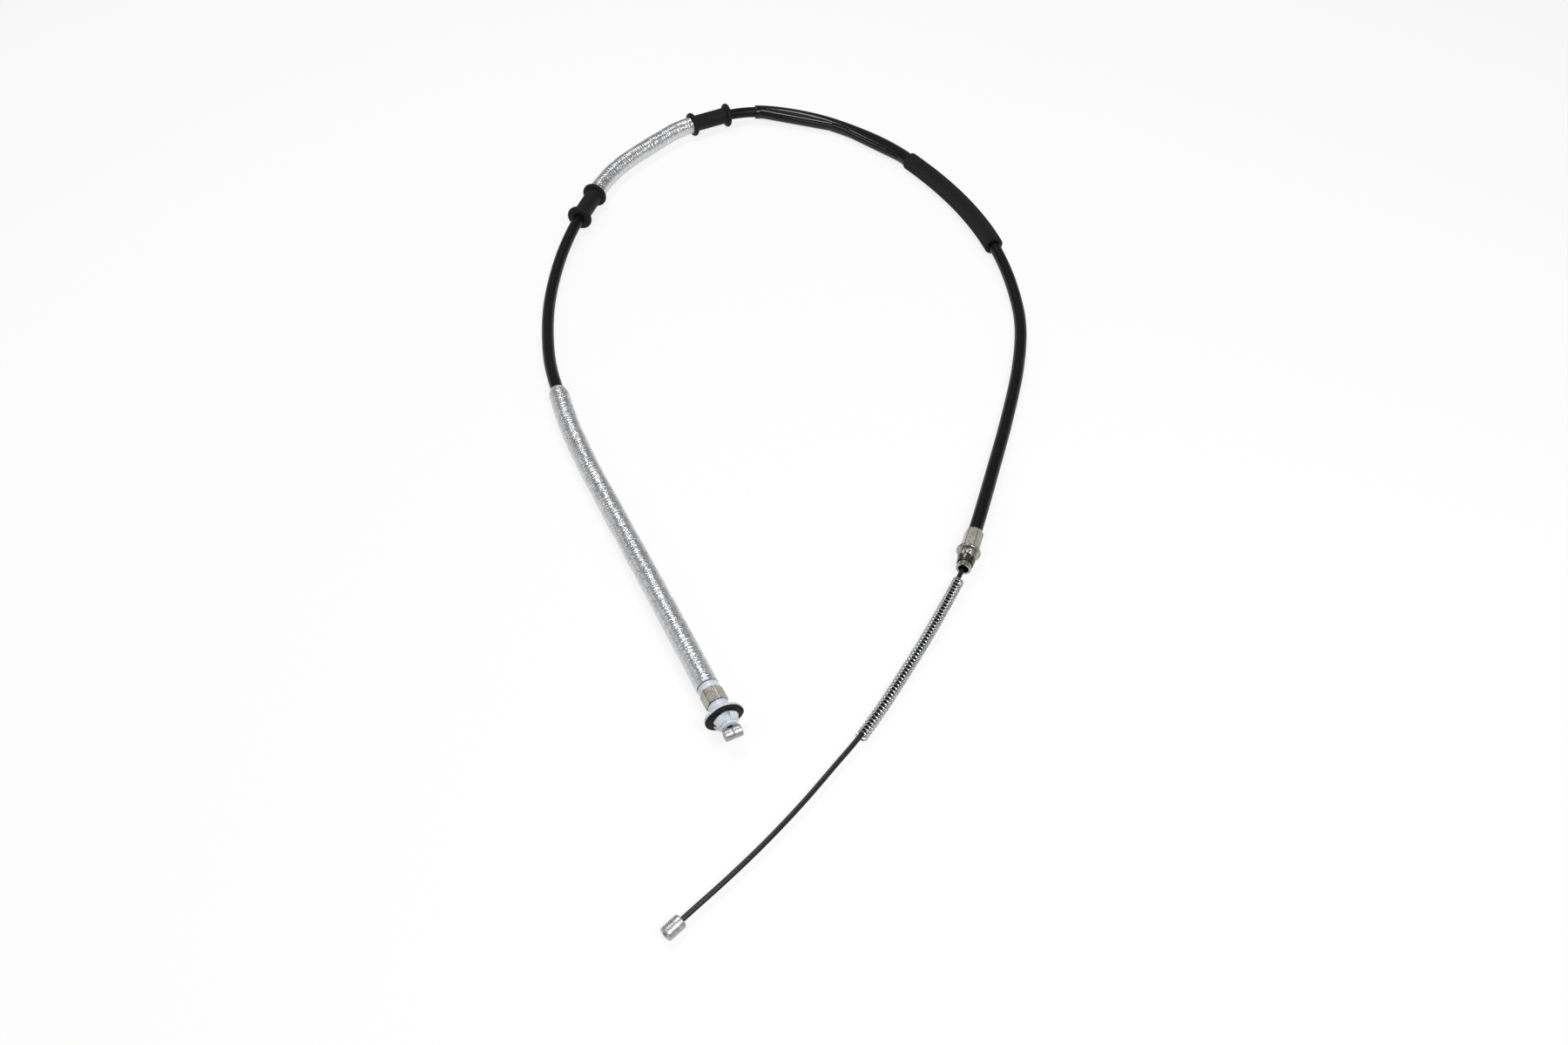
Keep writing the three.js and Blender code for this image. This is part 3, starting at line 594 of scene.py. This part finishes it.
@cache
def wound_steel_strip():
    """Steel strip wound into a tube: a dark joint every 3 mm along it."""
    material, tree, shader, where = finish("Wound steel strip", Metallic=1.0)
    parts = add(tree, "ShaderNodeSeparateXYZ", Vector=where)
    rings = add(
        tree, "ShaderNodeTexWave", {"bands_direction": "Y"}, Vector=where, Scale=0.1, Distortion=0.5
    )
    coloured(tree, shader, rings.outputs["Fac"], (0.05, "#3A3B3D"), (0.25, "#96989A"))
    roughened(tree, shader, parts.outputs["Z"], 0.35, 0.5)
    relief(tree, shader, rings.outputs["Fac"], 0.0001)
    return material


@cache
def extruded_liner():
    """Extruded polyethylene liner: waxy, off-white."""
    material, tree, shader, where = finish(
        "Extruded polyethylene", IOR=1.51, Subsurface_Weight=0.3, Subsurface_Scale=0.001
    )
    tone = grain(tree, where, 6.0)
    coloured(tree, shader, tone, (0.3, "#DAD6C6"), (0.7, "#ECE9DE"))
    roughened(tree, shader, grain(tree, where, 2.0), 0.35, 0.5)
    relief(tree, shader, grain(tree, where, 1.0), 0.00002)
    return material


def painted_floor(colour):
    """White painted board that glows a little to the camera and in reflections, under its shadows."""
    material = bpy.data.materials.new("White painted board")
    material.use_nodes = True
    tree = material.node_tree
    tree.nodes.clear()
    board = add(tree, "ShaderNodeBsdfPrincipled", Base_Color=(*colour, 1.0), Roughness=0.9)
    glow = add(tree, "ShaderNodeEmission", Color=(1, 1, 1, 1), Strength=1.0)
    path = add(tree, "ShaderNodeLightPath").outputs
    mirrored = arithmetic(tree, "ADD", path["Is Glossy Ray"], path["Is Transmission Ray"])
    looked_at = arithmetic(tree, "ADD", path["Is Camera Ray"], mirrored, clamp=True)
    seen = arithmetic(tree, "MULTIPLY", looked_at, FLOOR_GLOW)
    mix = add(tree, "ShaderNodeMixShader", Fac=seen, _1=board.outputs["BSDF"], _2=glow.outputs[0])
    add(tree, "ShaderNodeOutputMaterial", Surface=mix.outputs["Shader"])
    return material


# Settings


def length(name, description, default):
    """A length among the settings."""
    return FloatProperty(name=name, description=description, default=default, unit="LENGTH")


class CasingSettings(bpy.types.PropertyGroup):
    radius: length("Jacket radius", "Half the width of the black jacket", 0.0045)
    wire_radius: length("Wire radius", "Half the width of the coated wire", 0.00155)
    colour: FloatVectorProperty(
        name="Jacket colour", description="Colour of the black jacket", default=linear("#0E0E10")[:3],
        subtype="COLOR", size=3, min=0, max=1
    )


class FrontSettings(bpy.types.PropertyGroup):
    nipple_radius: length("Nipple radius", "Half the width of the cross nipple", 0.0035)
    nipple_length: length("Nipple length", "Length of the cross nipple", 0.0106)
    flange_width: length("Flange width", "Full width of the oval flange", 0.0234)
    flange_height: length("Flange height", "Full height of the oval flange", 0.0198)
    crimp_radius: length("Crimp corner radius", "Reach of the front crimp's corners", 0.0073)


class FoilSettings(bpy.types.PropertyGroup):
    radius: length("Radius", "Half the width of the heat sleeves", 0.00735)
    crinkle_pitch: length("Crinkle pitch", "Distance between two crinkles", 0.0021)
    crinkle_height: length("Crinkle height", "Height of the crinkles", 0.0003)


class GrommetSettings(bpy.types.PropertyGroup):
    flange_radius: length("Flange radius", "Half the width over the flanges", 0.0102)
    body_radius: length("Body radius", "Half the width between the flanges", 0.0069)
    flange_thickness: length("Flange thickness", "Thickness of each round flange", 0.0042)


class SleeveSettings(bpy.types.PropertyGroup):
    gloss_radius: length("Gloss radius", "Half the width of the glossy sleeve", 0.0059)
    rib_radius: length("Rib radius", "Half the width over the ribs", 0.00755)
    rib_depth: length("Rib depth", "Depth of the grooves between ribs", 0.0008)
    rib_count: IntProperty(name="Ribs", description="Number of ribs", default=20, min=6, max=40)


class FerruleSettings(bpy.types.PropertyGroup):
    crimp_radius: length("Crimp corner radius", "Reach of the rear crimp's corners", 0.0062)
    stop_radius: length("Stop radius", "Radius of the stop flange", 0.00785)
    hub_radius: length("Hub radius", "Radius of the toothed hub", 0.0052)
    nose_radius: length("Nose radius", "Radius of the nose", 0.00445)


class SpringSettings(bpy.types.PropertyGroup):
    radius: length("Radius", "Half the width over the coils", 0.00375)
    wire_radius: length("Wire radius", "Half the thickness of the spring wire", 0.00053)
    turns: IntProperty(name="Turns", description="Number of turns", default=51, min=5, max=90)
    hang: length("Hang", "How far the spring hangs below the wire", 0.00046)
    lean: length("Lean", "How far the spring's ends lie to the side of the wire", 0.00075)


class NippleSettings(bpy.types.PropertyGroup):
    radius: length("Radius", "Half the width of the barrel nipple", 0.0041)


class StudioSettings(bpy.types.PropertyGroup):
    lens: FloatProperty(
        name="Lens", description="Focal length of the camera in millimetres", default=29.44, min=10
    )
    key_power: FloatProperty(
        name="Key lamp", description="Power of the lamp beside the camera", default=12.0, unit="POWER"
    )
    top_power: FloatProperty(
        name="Top lamp", description="Power of the small lamp above and behind", default=6.0, unit="POWER"
    )
    fill_power: FloatProperty(
        name="Side lamps", description="Power of each side lamp", default=3.0, unit="POWER"
    )
    ambient: FloatProperty(
        name="Ambient", description="Strength of the white surround", default=0.3, min=0
    )
    floor_colour: FloatVectorProperty(
        name="Floor colour", description="Colour of the floor", default=(0.9, 0.9, 0.9), subtype="COLOR",
        size=3, min=0, max=1
    )


# Pieces


class CABLE_OT_studio(bpy.types.Operator):
    """Camera, lamps, surround and floor"""

    bl_idname = "cable.studio"
    bl_label = "Studio"

    def execute(self, context):
        settings = context.scene.cable_studio
        scene = context.scene
        scene.view_settings.view_transform = "Standard"
        camera = bpy.data.cameras.new("Camera")
        camera.sensor_width = 36.0
        camera.lens = settings.lens
        camera.clip_start = 0.01
        holder = bpy.data.objects.new("Camera", camera)
        holder.location = (0.001, -0.671, 0.626)
        holder.rotation_euler = (math.radians(42.0), 0.0, 0.0)
        scene.collection.objects.link(holder)
        scene.camera = holder
        lamps = (
            ("Key lamp", (0.45, -0.8, 1.15), (0.8, 0.5), settings.key_power),
            ("Top lamp", (-0.25, 0.55, 1.25), (0.6, 0.3), settings.top_power),
            ("Left lamp", (-1.3, -0.5, 0.9), (0.9, 0.6), settings.fill_power),
            ("Right lamp", (1.4, -0.4, 0.9), (0.6, 0.6), 0.5 * settings.fill_power),
        )
        for name, place, (width, height), power in lamps:
            light = bpy.data.lights.new(name, "AREA")
            light.shape = "RECTANGLE"
            light.size = width
            light.size_y = height
            light.energy = power
            lamp = bpy.data.objects.new(name, light)
            lamp.location = place
            lamp.rotation_euler = Vector(place).to_track_quat("Z", "Y").to_euler()
            scene.collection.objects.link(lamp)
        world = bpy.data.worlds.new("White surround")
        world.use_nodes = True
        tree = world.node_tree
        tree.nodes.clear()
        sky = add(tree, "ShaderNodeBackground", Color=(1, 1, 1, 1), Strength=settings.ambient)
        add(tree, "ShaderNodeOutputWorld", Surface=sky.outputs["Background"])
        scene.world = world
        floor = bmesh.new()
        bmesh.ops.create_grid(floor, x_segments=1, y_segments=1, size=3.0)
        mesh = bpy.data.meshes.new("Floor")
        floor.to_mesh(mesh)
        floor.free()
        mesh.materials.append(painted_floor(settings.floor_colour))
        board = bpy.data.objects.new("Floor", mesh)
        scene.collection.objects.link(board)
        return {"FINISHED"}


class CABLE_OT_casing(bpy.types.Operator):
    """Jacket of the casing, and finishes for the armour, liner and wire inside it"""

    bl_idname = "cable.casing"
    bl_label = "Casing"

    def execute(self, context):
        settings = context.scene.cable_casing
        end, step = MOUTH - STOP_START, 0.004
        profile = tube_profile(settings.radius, JACKET_BORE, CASING_START, end, step)
        jacket = piece(
            "Casing.jacket", turned(bmesh.new(), casing_route, profile, 32),
            extruded_polypropylene(settings.colour), "casing", ["casing_jacket"]
        )
        coats = (
            ("casing_armour", wound_steel_strip()), ("casing_liner", extruded_liner()),
            ("inner_wire", nylon_coated_strand()),
        )
        for node, material in coats:
            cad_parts[node].material_slots[0].material = material
        return {"FINISHED"}


class CABLE_OT_wire(bpy.types.Operator):
    """Bare rear stretch of the coated wire, and its front end"""

    bl_idname = "cable.wire"
    bl_label = "Wire"

    def execute(self, context):
        radius = context.scene.cable_casing.wire_radius
        end = NIPPLE_START + WIRE_DEPTH
        steps = 120
        profile = [(radius, end * i / steps) for i in range(steps + 1)]
        wire = piece(
            "Wire.rear", turned(bmesh.new(), wire_route, profile, 20, closed=False), nylon_coated_strand(),
            None, ["inner_wire_rear"]
        )
        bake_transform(wire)
        stub = [(radius, place) for place in FRONT_STUB]
        piece(
            "Wire.front", turned(bmesh.new(), casing_route, stub, 20, closed=False), nylon_coated_strand(),
            "front_end", ["inner_wire_front"]
        )
        return {"FINISHED"}


class CABLE_OT_front_fitting(bpy.types.Operator):
    """Cross nipple, nylon body, gasket, crimp ferrule and seal ring at the front"""

    bl_idname = "cable.front_fitting"
    bl_label = "Front fitting"

    def execute(self, context):
        settings = context.scene.cable_front
        self.nipple(settings)
        self.body(settings)
        self.gasket(settings)
        start, end = FRONT_CRIMP
        corner, chamfer = settings.crimp_radius, 0.0005
        wall = corner - 0.0001
        crimp = eased(
            [
                (CRIMP_BORE, start), (corner - chamfer, start), (wall, start + chamfer),
                (wall, end - chamfer), (corner - chamfer, end), (CRIMP_BORE, end),
            ],
            0.0001,
        )
        piece(
            "Front.crimp",
            turned(bmesh.new(), casing_route, crimp, 120, hexagonal(corner, FRONT_CRIMP_TURN)),
            zinc_plated_steel(), "casing", ["front_crimp_ferrule"], sharp=25
        )
        start, end = SEAL_RING
        ring = eased(
            [(BODY_BORE, start), (SEAL_RADIUS, start), (SEAL_RADIUS, end), (BODY_BORE, end)], 0.0004
        )
        piece(
            "Front.seal", turned(bmesh.new(), casing_route, ring, ROUND_SIDES), natural_nylon(),
            "casing", ["seal_ring"]
        )
        return {"FINISHED"}

    def nipple(self, settings):
        centre, side, up, tangent = casing_route.at(NIPPLE_CENTRE)
        axis = Axis(centre, up, tangent, side)
        radius, half = settings.nipple_radius, settings.nipple_length / 2
        # A dimple in each end, chamfered rims and a groove round the middle
        dimple, chamfer, groove = 0.0003, 0.0004, 0.0003
        ending = [
            (0.0004, half - dimple), (radius * 0.45, half - dimple), (radius * 0.5, half),
            (radius - chamfer, half), (radius, half - chamfer), (radius, 0.0004),
            (radius - groove, 0.0001),
        ]
        profile = eased([(r, -s) for r, s in ending] + ending[::-1], 0.00012, closed=False)
        piece(
            "Front.nipple", turned(bmesh.new(), axis, profile, ROUND_SIDES, closed=False),
            die_cast_zinc(), "front_end", ["front_nipple"]
        )

    def body(self, settings):
        build = bmesh.new()
        socket = CASING_START - 0.0003
        shell = eased(
            [
                (WIRE_HOLE, SNOUT_TIP), (SNOUT_MOUTH_RADIUS, SNOUT_TIP),
                (SNOUT_TIP_RADIUS, SNOUT_TIP + 0.0006), (SNOUT_RADIUS, GASKET_FRONT),
                (SNOUT_RADIUS, FLANGE_FRONT), (0.0084, FLANGE_FRONT),
                # The flare narrows from the flange to the collar
                (FLARE_RADIUS, FLANGE_BACK), (0.0071, FLANGE_BACK + 0.0006), (0.0065, COLLAR_START),
                (COLLAR_RADIUS, COLLAR_START + 0.001), (COLLAR_RADIUS, COLLAR_END),
                (BODY_BORE, COLLAR_END), (BODY_BORE, socket), (WIRE_HOLE, socket),
            ],
            0.0004,
        )
        turned(build, casing_route, shell, 64)
        middle = (FLANGE_FRONT + FLANGE_BACK) / 2
        flange = eased(
            [(0.6, FLANGE_FRONT), (1.0, FLANGE_FRONT), (1.0, FLANGE_BACK), (0.6, FLANGE_BACK)], 0.0004
        )
        rim = [(r if r < 0.99 else 1 - 0.3 * abs(s - middle) / 0.01, s) for r, s in flange]
        oval = pointed_oval(settings.flange_width / 2, settings.flange_height / 2)
        turned(build, casing_route, rim, OVAL_SIDES, oval)
        end = GASKET_FRONT - LUG_TO_GASKET
        start = end - LUG_LENGTH
        lug = eased(
            [
                (LUG_ROOT_RADIUS, start), (LUG_FOOT_RADIUS, start), (LUG_RADIUS, end - 0.001),
                (LUG_RADIUS, end), (LUG_ROOT_RADIUS, end),
            ],
            0.0005,
        )
        for angle in LUG_ANGLES:
            turned(build, casing_route, lug, 14, start_angle=angle - LUG_ARC / 2, arc=LUG_ARC)
        piece("Front.body", build, natural_nylon(), "casing", ["front_mounting_body"])

    def gasket(self, settings):
        overhang = 0.0003
        oval = pointed_oval(settings.flange_width / 2 + overhang, settings.flange_height / 2 + overhang)

        def outline(angle, radius, place):
            return oval(angle, radius, place) if radius > 0.5 else radius

        # The radii past the bore are shares of the oval, which has rounded rims
        profile = [
            (GASKET_BORE, GASKET_BACK), (GASKET_BORE, GASKET_FRONT), (0.96, GASKET_FRONT),
            (0.985, GASKET_FRONT + 0.0002), (1.0, GASKET_FRONT + 0.0007),
            (1.0, GASKET_BACK - 0.0007), (0.985, GASKET_BACK - 0.0002), (0.96, GASKET_BACK),
        ]
        piece(
            "Front.gasket", turned(bmesh.new(), casing_route, profile, OVAL_SIDES, outline),
            moulded_rubber(), "casing", ["front_gasket"]
        )


def crinkle(settings, seed):
    """A radius with sharp folds round a foil sleeve, broken up by dents."""

    def shape(angle, radius, place):
        if radius < 0.8 * settings.radius:
            return radius
        x, y = math.cos(angle), math.sin(angle)
        # The folds wander over 9 mm, fade over 5 mm, and lie on dents 16 mm long
        drift = noise.noise(Vector((1.4 * x, 1.4 * y, place / 0.009 + seed)))
        fold = abs((place / settings.crinkle_pitch + 0.9 * drift) % 1 - 0.5) * 2 - 0.5
        strength = 0.55 + 0.9 * noise.noise(Vector((2.2 * x, 2.2 * y, place / 0.005 + seed + 7)))
        dent = noise.noise(Vector((1.1 * x, 1.1 * y, place / 0.016 + seed + 3)))
        return radius + settings.crinkle_height * fold * strength + 0.9 * settings.crinkle_height * dent

    return shape


class CABLE_OT_heat_sleeves(bpy.types.Operator):
    """The two aluminium heat sleeves"""

    bl_idname = "cable.heat_sleeves"
    bl_label = "Heat sleeves"

    def execute(self, context):
        settings = context.scene.cable_foil
        radius, bore, step = settings.radius - 0.0002, FOIL_BORE, 0.0005
        long = tube_profile(radius, bore, LONG_SLEEVE[0], LONG_SLEEVE[1] - 0.0055, step)
        # The far end of the long sleeve is rolled in
        rolled = [(radius - 0.0002, -0.0042), (radius - 0.0005, -0.0029), (radius - 0.0009, -0.0016)]
        rolled += [(radius - 0.0013, -0.0005), (radius - 0.0019, 0.0), (bore, -0.0006)]
        count = len(long) // 2
        end = [(r, LONG_SLEEVE[1] + s) for r, s in rolled]
        long = long[:count] + end + long[count:]
        short = tube_profile(radius, bore, SHORT_SLEEVE[0], SHORT_SLEEVE[1], step)
        for name, node, profile, seed in (
            ("Sleeve.heat_long", "heat_sleeve_long", long, 0.0),
            ("Sleeve.heat_short", "heat_sleeve_short", short, 40.0),
        ):
            piece(
                name, turned(bmesh.new(), casing_route, profile, ROUND_SIDES, crinkle(settings, seed)),
                crinkled_foil(), "casing", [node], sharp=60
            )
        return {"FINISHED"}


class CABLE_OT_grommets(bpy.types.Operator):
    """The two rubber grommets"""

    bl_idname = "cable.grommets"
    bl_label = "Grommets"

    def execute(self, context):
        settings = context.scene.cable_grommet
        for name, node, (start, end) in (
            ("Grommet.first", "grommet_first", FIRST_GROMMET),
            ("Grommet.second", "grommet_second", SECOND_GROMMET),
        ):
            profile = [(GROMMET_BORE, start)] + self.flange(settings, start)
            profile += self.neck(settings, start + settings.flange_thickness, 1)
            profile += self.neck(settings, end - settings.flange_thickness, -1)
            profile += self.flange(settings, end - settings.flange_thickness)
            profile += [(GROMMET_BORE, end)]
            piece(
                name, turned(bmesh.new(), casing_route, profile, ROUND_SIDES), moulded_rubber(),
                "casing", [node], sharp=60
            )
        return {"FINISHED"}

    @staticmethod
    def flange(settings, start):
        half = settings.flange_thickness / 2
        centre = settings.flange_radius - half
        angles = [math.radians(-90 + 180 * i / 12) for i in range(13)]
        return [(centre + half * math.cos(a), start + half + half * math.sin(a)) for a in angles]

    @staticmethod
    def neck(settings, place, way):
        """A rounded corner between a flange and the body."""
        fillet = 0.0008
        turns = [i / 4 for i in range(5)] if way > 0 else [1 - i / 4 for i in range(5)]
        return [
            (
                settings.body_radius + fillet * (1 - math.sin(math.pi / 2 * t)),
                place + way * fillet * (1 - math.cos(math.pi / 2 * t)),
            )
            for t in turns
        ]


class CABLE_OT_black_sleeves(bpy.types.Operator):
    """The glossy shrunk sleeve and the ribbed sleeve"""

    bl_idname = "cable.black_sleeves"
    bl_label = "Black sleeves"

    def execute(self, context):
        settings = context.scene.cable_sleeve
        radius = settings.gloss_radius
        start, end = GLOSS_SLEEVE
        gloss = [(radius - 0.0006, start), (radius - 0.0002, start + 0.0001), (radius, start + 0.0005)]
        count = 60
        gloss += [(radius, start + 0.001 + (end - start - 0.002) * i / count) for i in range(count + 1)]
        gloss += [(radius, end - 0.0005), (radius - 0.0002, end - 0.0001), (radius - 0.0006, end)]
        gloss += [(GLOSS_BORE, end), (GLOSS_BORE, (start + end) / 2), (GLOSS_BORE, start)]
        piece(
            "Sleeve.gloss", turned(bmesh.new(), casing_route, gloss, 48), shrunk_polyolefin(), "casing",
            ["gloss_sleeve"]
        )
        ribs, depth, tip = settings.rib_count, settings.rib_depth, settings.rib_radius

        def ribbed(angle, reach, place):
            if reach < 0.9 * tip:
                return reach
            wave = 0.5 + 0.5 * math.cos(ribs * (angle + 0.02))
            return reach - depth * (1 - wave**0.6)

        profile = tube_profile(tip, RIBBED_BORE, *RIBBED_SLEEVE, 0.003)
        piece(
            "Sleeve.ribbed", turned(bmesh.new(), casing_route, profile, 10 * ribs, ribbed),
            extruded_rubber(), "casing", ["ribbed_sleeve"], sharp=60
        )
        return {"FINISHED"}


class CABLE_OT_rear_ferrule(bpy.types.Operator):
    """Crimped rear ferrule with its stop flange, hub and nose, and the clip round the nose"""

    bl_idname = "cable.rear_ferrule"
    bl_label = "Rear ferrule"

    def execute(self, context):
        settings = context.scene.cable_ferrule
        crimp, stop, hub, nose = (
            settings.crimp_radius, settings.stop_radius, settings.hub_radius, settings.nose_radius
        )
        start, stop_start, hub_start = MOUTH - REAR_CRIMP_START, MOUTH - STOP_START, MOUTH - HUB_START
        wall, lip, edge = crimp - 0.0001, nose + 0.00035, 0.0005
        profile = eased(
            [
                (CRIMP_BORE, start), (crimp - 0.001, start), (wall, start + 0.0011), (wall, stop_start),
                (stop - edge, stop_start), (stop, stop_start + edge), (stop, hub_start - edge),
                (stop - edge, hub_start), (hub, hub_start), (hub, MOUTH - HUB_SHOULDER),
                (hub - 0.0002, MOUTH - HUB_END), (nose + 0.0001, MOUTH - NOSE_START),
                (nose, MOUTH - NOSE_LIP_START), (lip, MOUTH - 0.0007), (lip, MOUTH),
                (NOSE_BORE, MOUTH), (NOSE_BORE, MOUTH - BORE_END), (CRIMP_BORE, MOUTH - SOCKET_END),
            ],
            0.0002,
        )
        hexagon = hexagonal(crimp, REAR_CRIMP_TURN)
        teeth = toothed(HUB_TEETH, HUB_TOOTH_DEPTH)
        toothed_from = 0.0049

        def outline(angle, radius, place):
            if place < stop_start - 0.0001:
                return hexagon(angle, radius, place)
            on_hub = hub_start + 0.0003 < place < MOUTH - NOSE_START - 0.0003
            if on_hub and radius > toothed_from:
                return teeth(angle, radius, place)
            return radius

        piece(
            "Rear.ferrule", turned(bmesh.new(), casing_route, profile, 132, outline), zinc_plated_steel(),
            "casing", ["rear_ferrule"], sharp=25
        )
        build = bmesh.new()
        tip, wall, ring = 0.00585, 0.00055, 0.00479
        from_place = MOUTH - CLIP_START
        to_place = from_place + CLIP_LENGTH
        band = to_place - CLIP_BAND
        turned(
            build, casing_route,
            eased([(ring, band), (ring + wall, band), (ring + wall, to_place), (ring, to_place)], 0.0001),
            64
        )
        finger = eased(
            [
                (tip - wall, from_place), (tip, from_place), (ring + wall, band + 0.0003),
                (ring, band + 0.0003),
            ],
            0.00012,
        )
        for i in range(CLIP_FINGERS):
            begin = 360 / CLIP_FINGERS * i + 30 - CLIP_FINGER_ARC / 2
            turned(build, casing_route, finger, 10, start_angle=begin, arc=CLIP_FINGER_ARC)
        piece(
            "Rear.clip", build, blackened_spring_steel(), "casing", ["rear_retaining_clip"],
            sharp=30
        )
        return {"FINISHED"}


class CABLE_OT_return_spring(bpy.types.Operator):
    """Return spring that hangs on the bare wire"""

    bl_idname = "cable.return_spring"
    bl_label = "Return spring"

    def execute(self, context):
        settings = context.scene.cable_spring
        steps, sides, closed_turns, closed_pitch = 26, 10, 1.5, 0.0014
        pitch = (SPRING_LENGTH - closed_turns * closed_pitch) / (settings.turns - closed_turns)
        reach = settings.radius - settings.wire_radius
        centres = []
        for i in range(settings.turns * steps + 1):
            turn = i / steps
            place = SPRING_START + min(turn, closed_turns) * closed_pitch
            place += max(turn - closed_turns, 0) * pitch
            point, side, up, _ = wire_route.at(place)
            outward = math.cos(math.tau * turn) * side + math.sin(math.tau * turn) * up
            lean = settings.lean * (2 * (place - SPRING_START) / SPRING_LENGTH - 1) ** 2
            centres.append((point - settings.hang * up - lean * side + reach * outward, outward))
        build = bmesh.new()
        rings = []
        for i, (centre, outward) in enumerate(centres):
            ahead = centres[min(i + 1, len(centres) - 1)][0] - centres[max(i - 1, 0)][0]
            across = ahead.normalized().cross(outward).normalized()
            rings.append([
                build.verts.new(
                    centre + settings.wire_radius * (math.cos(a) * outward + math.sin(a) * across)
                )
                for a in (math.tau * j / sides for j in range(sides))
            ])
        for low, high in zip(rings, rings[1:]):
            for j in range(sides):
                k = (j + 1) % sides
                build.faces.new((low[j], low[k], high[k], high[j]))
        build.faces.new(rings[0])
        build.faces.new(rings[-1][::-1])
        piece("Return.spring", build, drawn_spring_steel(), "casing", ["return_spring"])
        return {"FINISHED"}


class CABLE_OT_rear_nipple(bpy.types.Operator):
    """Die-cast barrel nipple at the rear end of the wire"""

    bl_idname = "cable.rear_nipple"
    bl_label = "Rear nipple"

    def execute(self, context):
        radius = context.scene.cable_nipple.radius
        start, end = NIPPLE_START, NIPPLE_START + NIPPLE_LENGTH
        profile = eased(
            [
                (0.0017, start + 0.001), (0.0018, start), (radius - 0.0006, start),
                (radius, start + 0.0006), (radius, end - 0.0006), (radius - 0.0006, end), (0.0003, end),
            ],
            0.0002, closed=False,
        )
        build = turned(bmesh.new(), wire_route, profile, ROUND_SIDES, closed=False)
        centre, side, up, tangent = wire_route.at(end)
        gate = bmesh.ops.create_cube(build, size=1.0)["verts"]
        turn = Matrix((side, up, tangent)).transposed().to_4x4()
        width, depth = 0.0024, 0.0013
        scale = Matrix.Diagonal((width, width, depth, 1.0))
        bmesh.ops.transform(build, matrix=Matrix.Translation(centre) @ turn @ scale, verts=gate)
        edges = list({edge for vert in gate for edge in vert.link_edges})
        bmesh.ops.bevel(build, geom=edges, offset=0.00015, segments=2, affect="EDGES")
        piece("Rear.nipple", build, die_cast_zinc(), "rear_end", ["rear_nipple"])
        return {"FINISHED"}


class CABLE_PT_panel(bpy.types.Panel):
    """Settings and steps of the brake cable"""

    bl_idname = "CABLE_PT_panel"
    bl_label = "Brake cable"
    bl_space_type = "VIEW_3D"
    bl_region_type = "UI"
    bl_category = "Brake cable"

    def draw(self, context):
        layout = self.layout
        for name, _, operators in GROUPS:
            box = layout.box()
            settings = getattr(context.scene, name)
            for prop in settings.__annotations__:
                box.prop(settings, prop)
            for operator in operators:
                box.operator(operator.bl_idname)


# Each group of settings with the operators that use it
GROUPS = (
    ("cable_studio", StudioSettings, (CABLE_OT_studio,)),
    ("cable_ferrule", FerruleSettings, (CABLE_OT_rear_ferrule,)),
    ("cable_spring", SpringSettings, (CABLE_OT_return_spring,)),
    ("cable_nipple", NippleSettings, (CABLE_OT_rear_nipple,)),
    ("cable_casing", CasingSettings, (CABLE_OT_casing, CABLE_OT_wire)),
    ("cable_front", FrontSettings, (CABLE_OT_front_fitting,)),
    ("cable_foil", FoilSettings, (CABLE_OT_heat_sleeves,)),
    ("cable_grommet", GrommetSettings, (CABLE_OT_grommets,)),
    ("cable_sleeve", SleeveSettings, (CABLE_OT_black_sleeves,)),
)


def register():
    for name, settings, operators in GROUPS:
        bpy.utils.register_class(settings)
        setattr(bpy.types.Scene, name, PointerProperty(type=settings))
        for operator in operators:
            bpy.utils.register_class(operator)
    bpy.utils.register_class(CABLE_PT_panel)


def unregister():
    bpy.utils.unregister_class(CABLE_PT_panel)
    for name, settings, operators in reversed(GROUPS):
        for operator in operators:
            bpy.utils.unregister_class(operator)
        delattr(bpy.types.Scene, name)
        bpy.utils.unregister_class(settings)


def main():
    register()
    for _, _, operators in GROUPS:
        for operator in operators:
            group, step = operator.bl_idname.split(".")
            getattr(getattr(bpy.ops, group), step)()


if __name__ == "__main__":
    main()
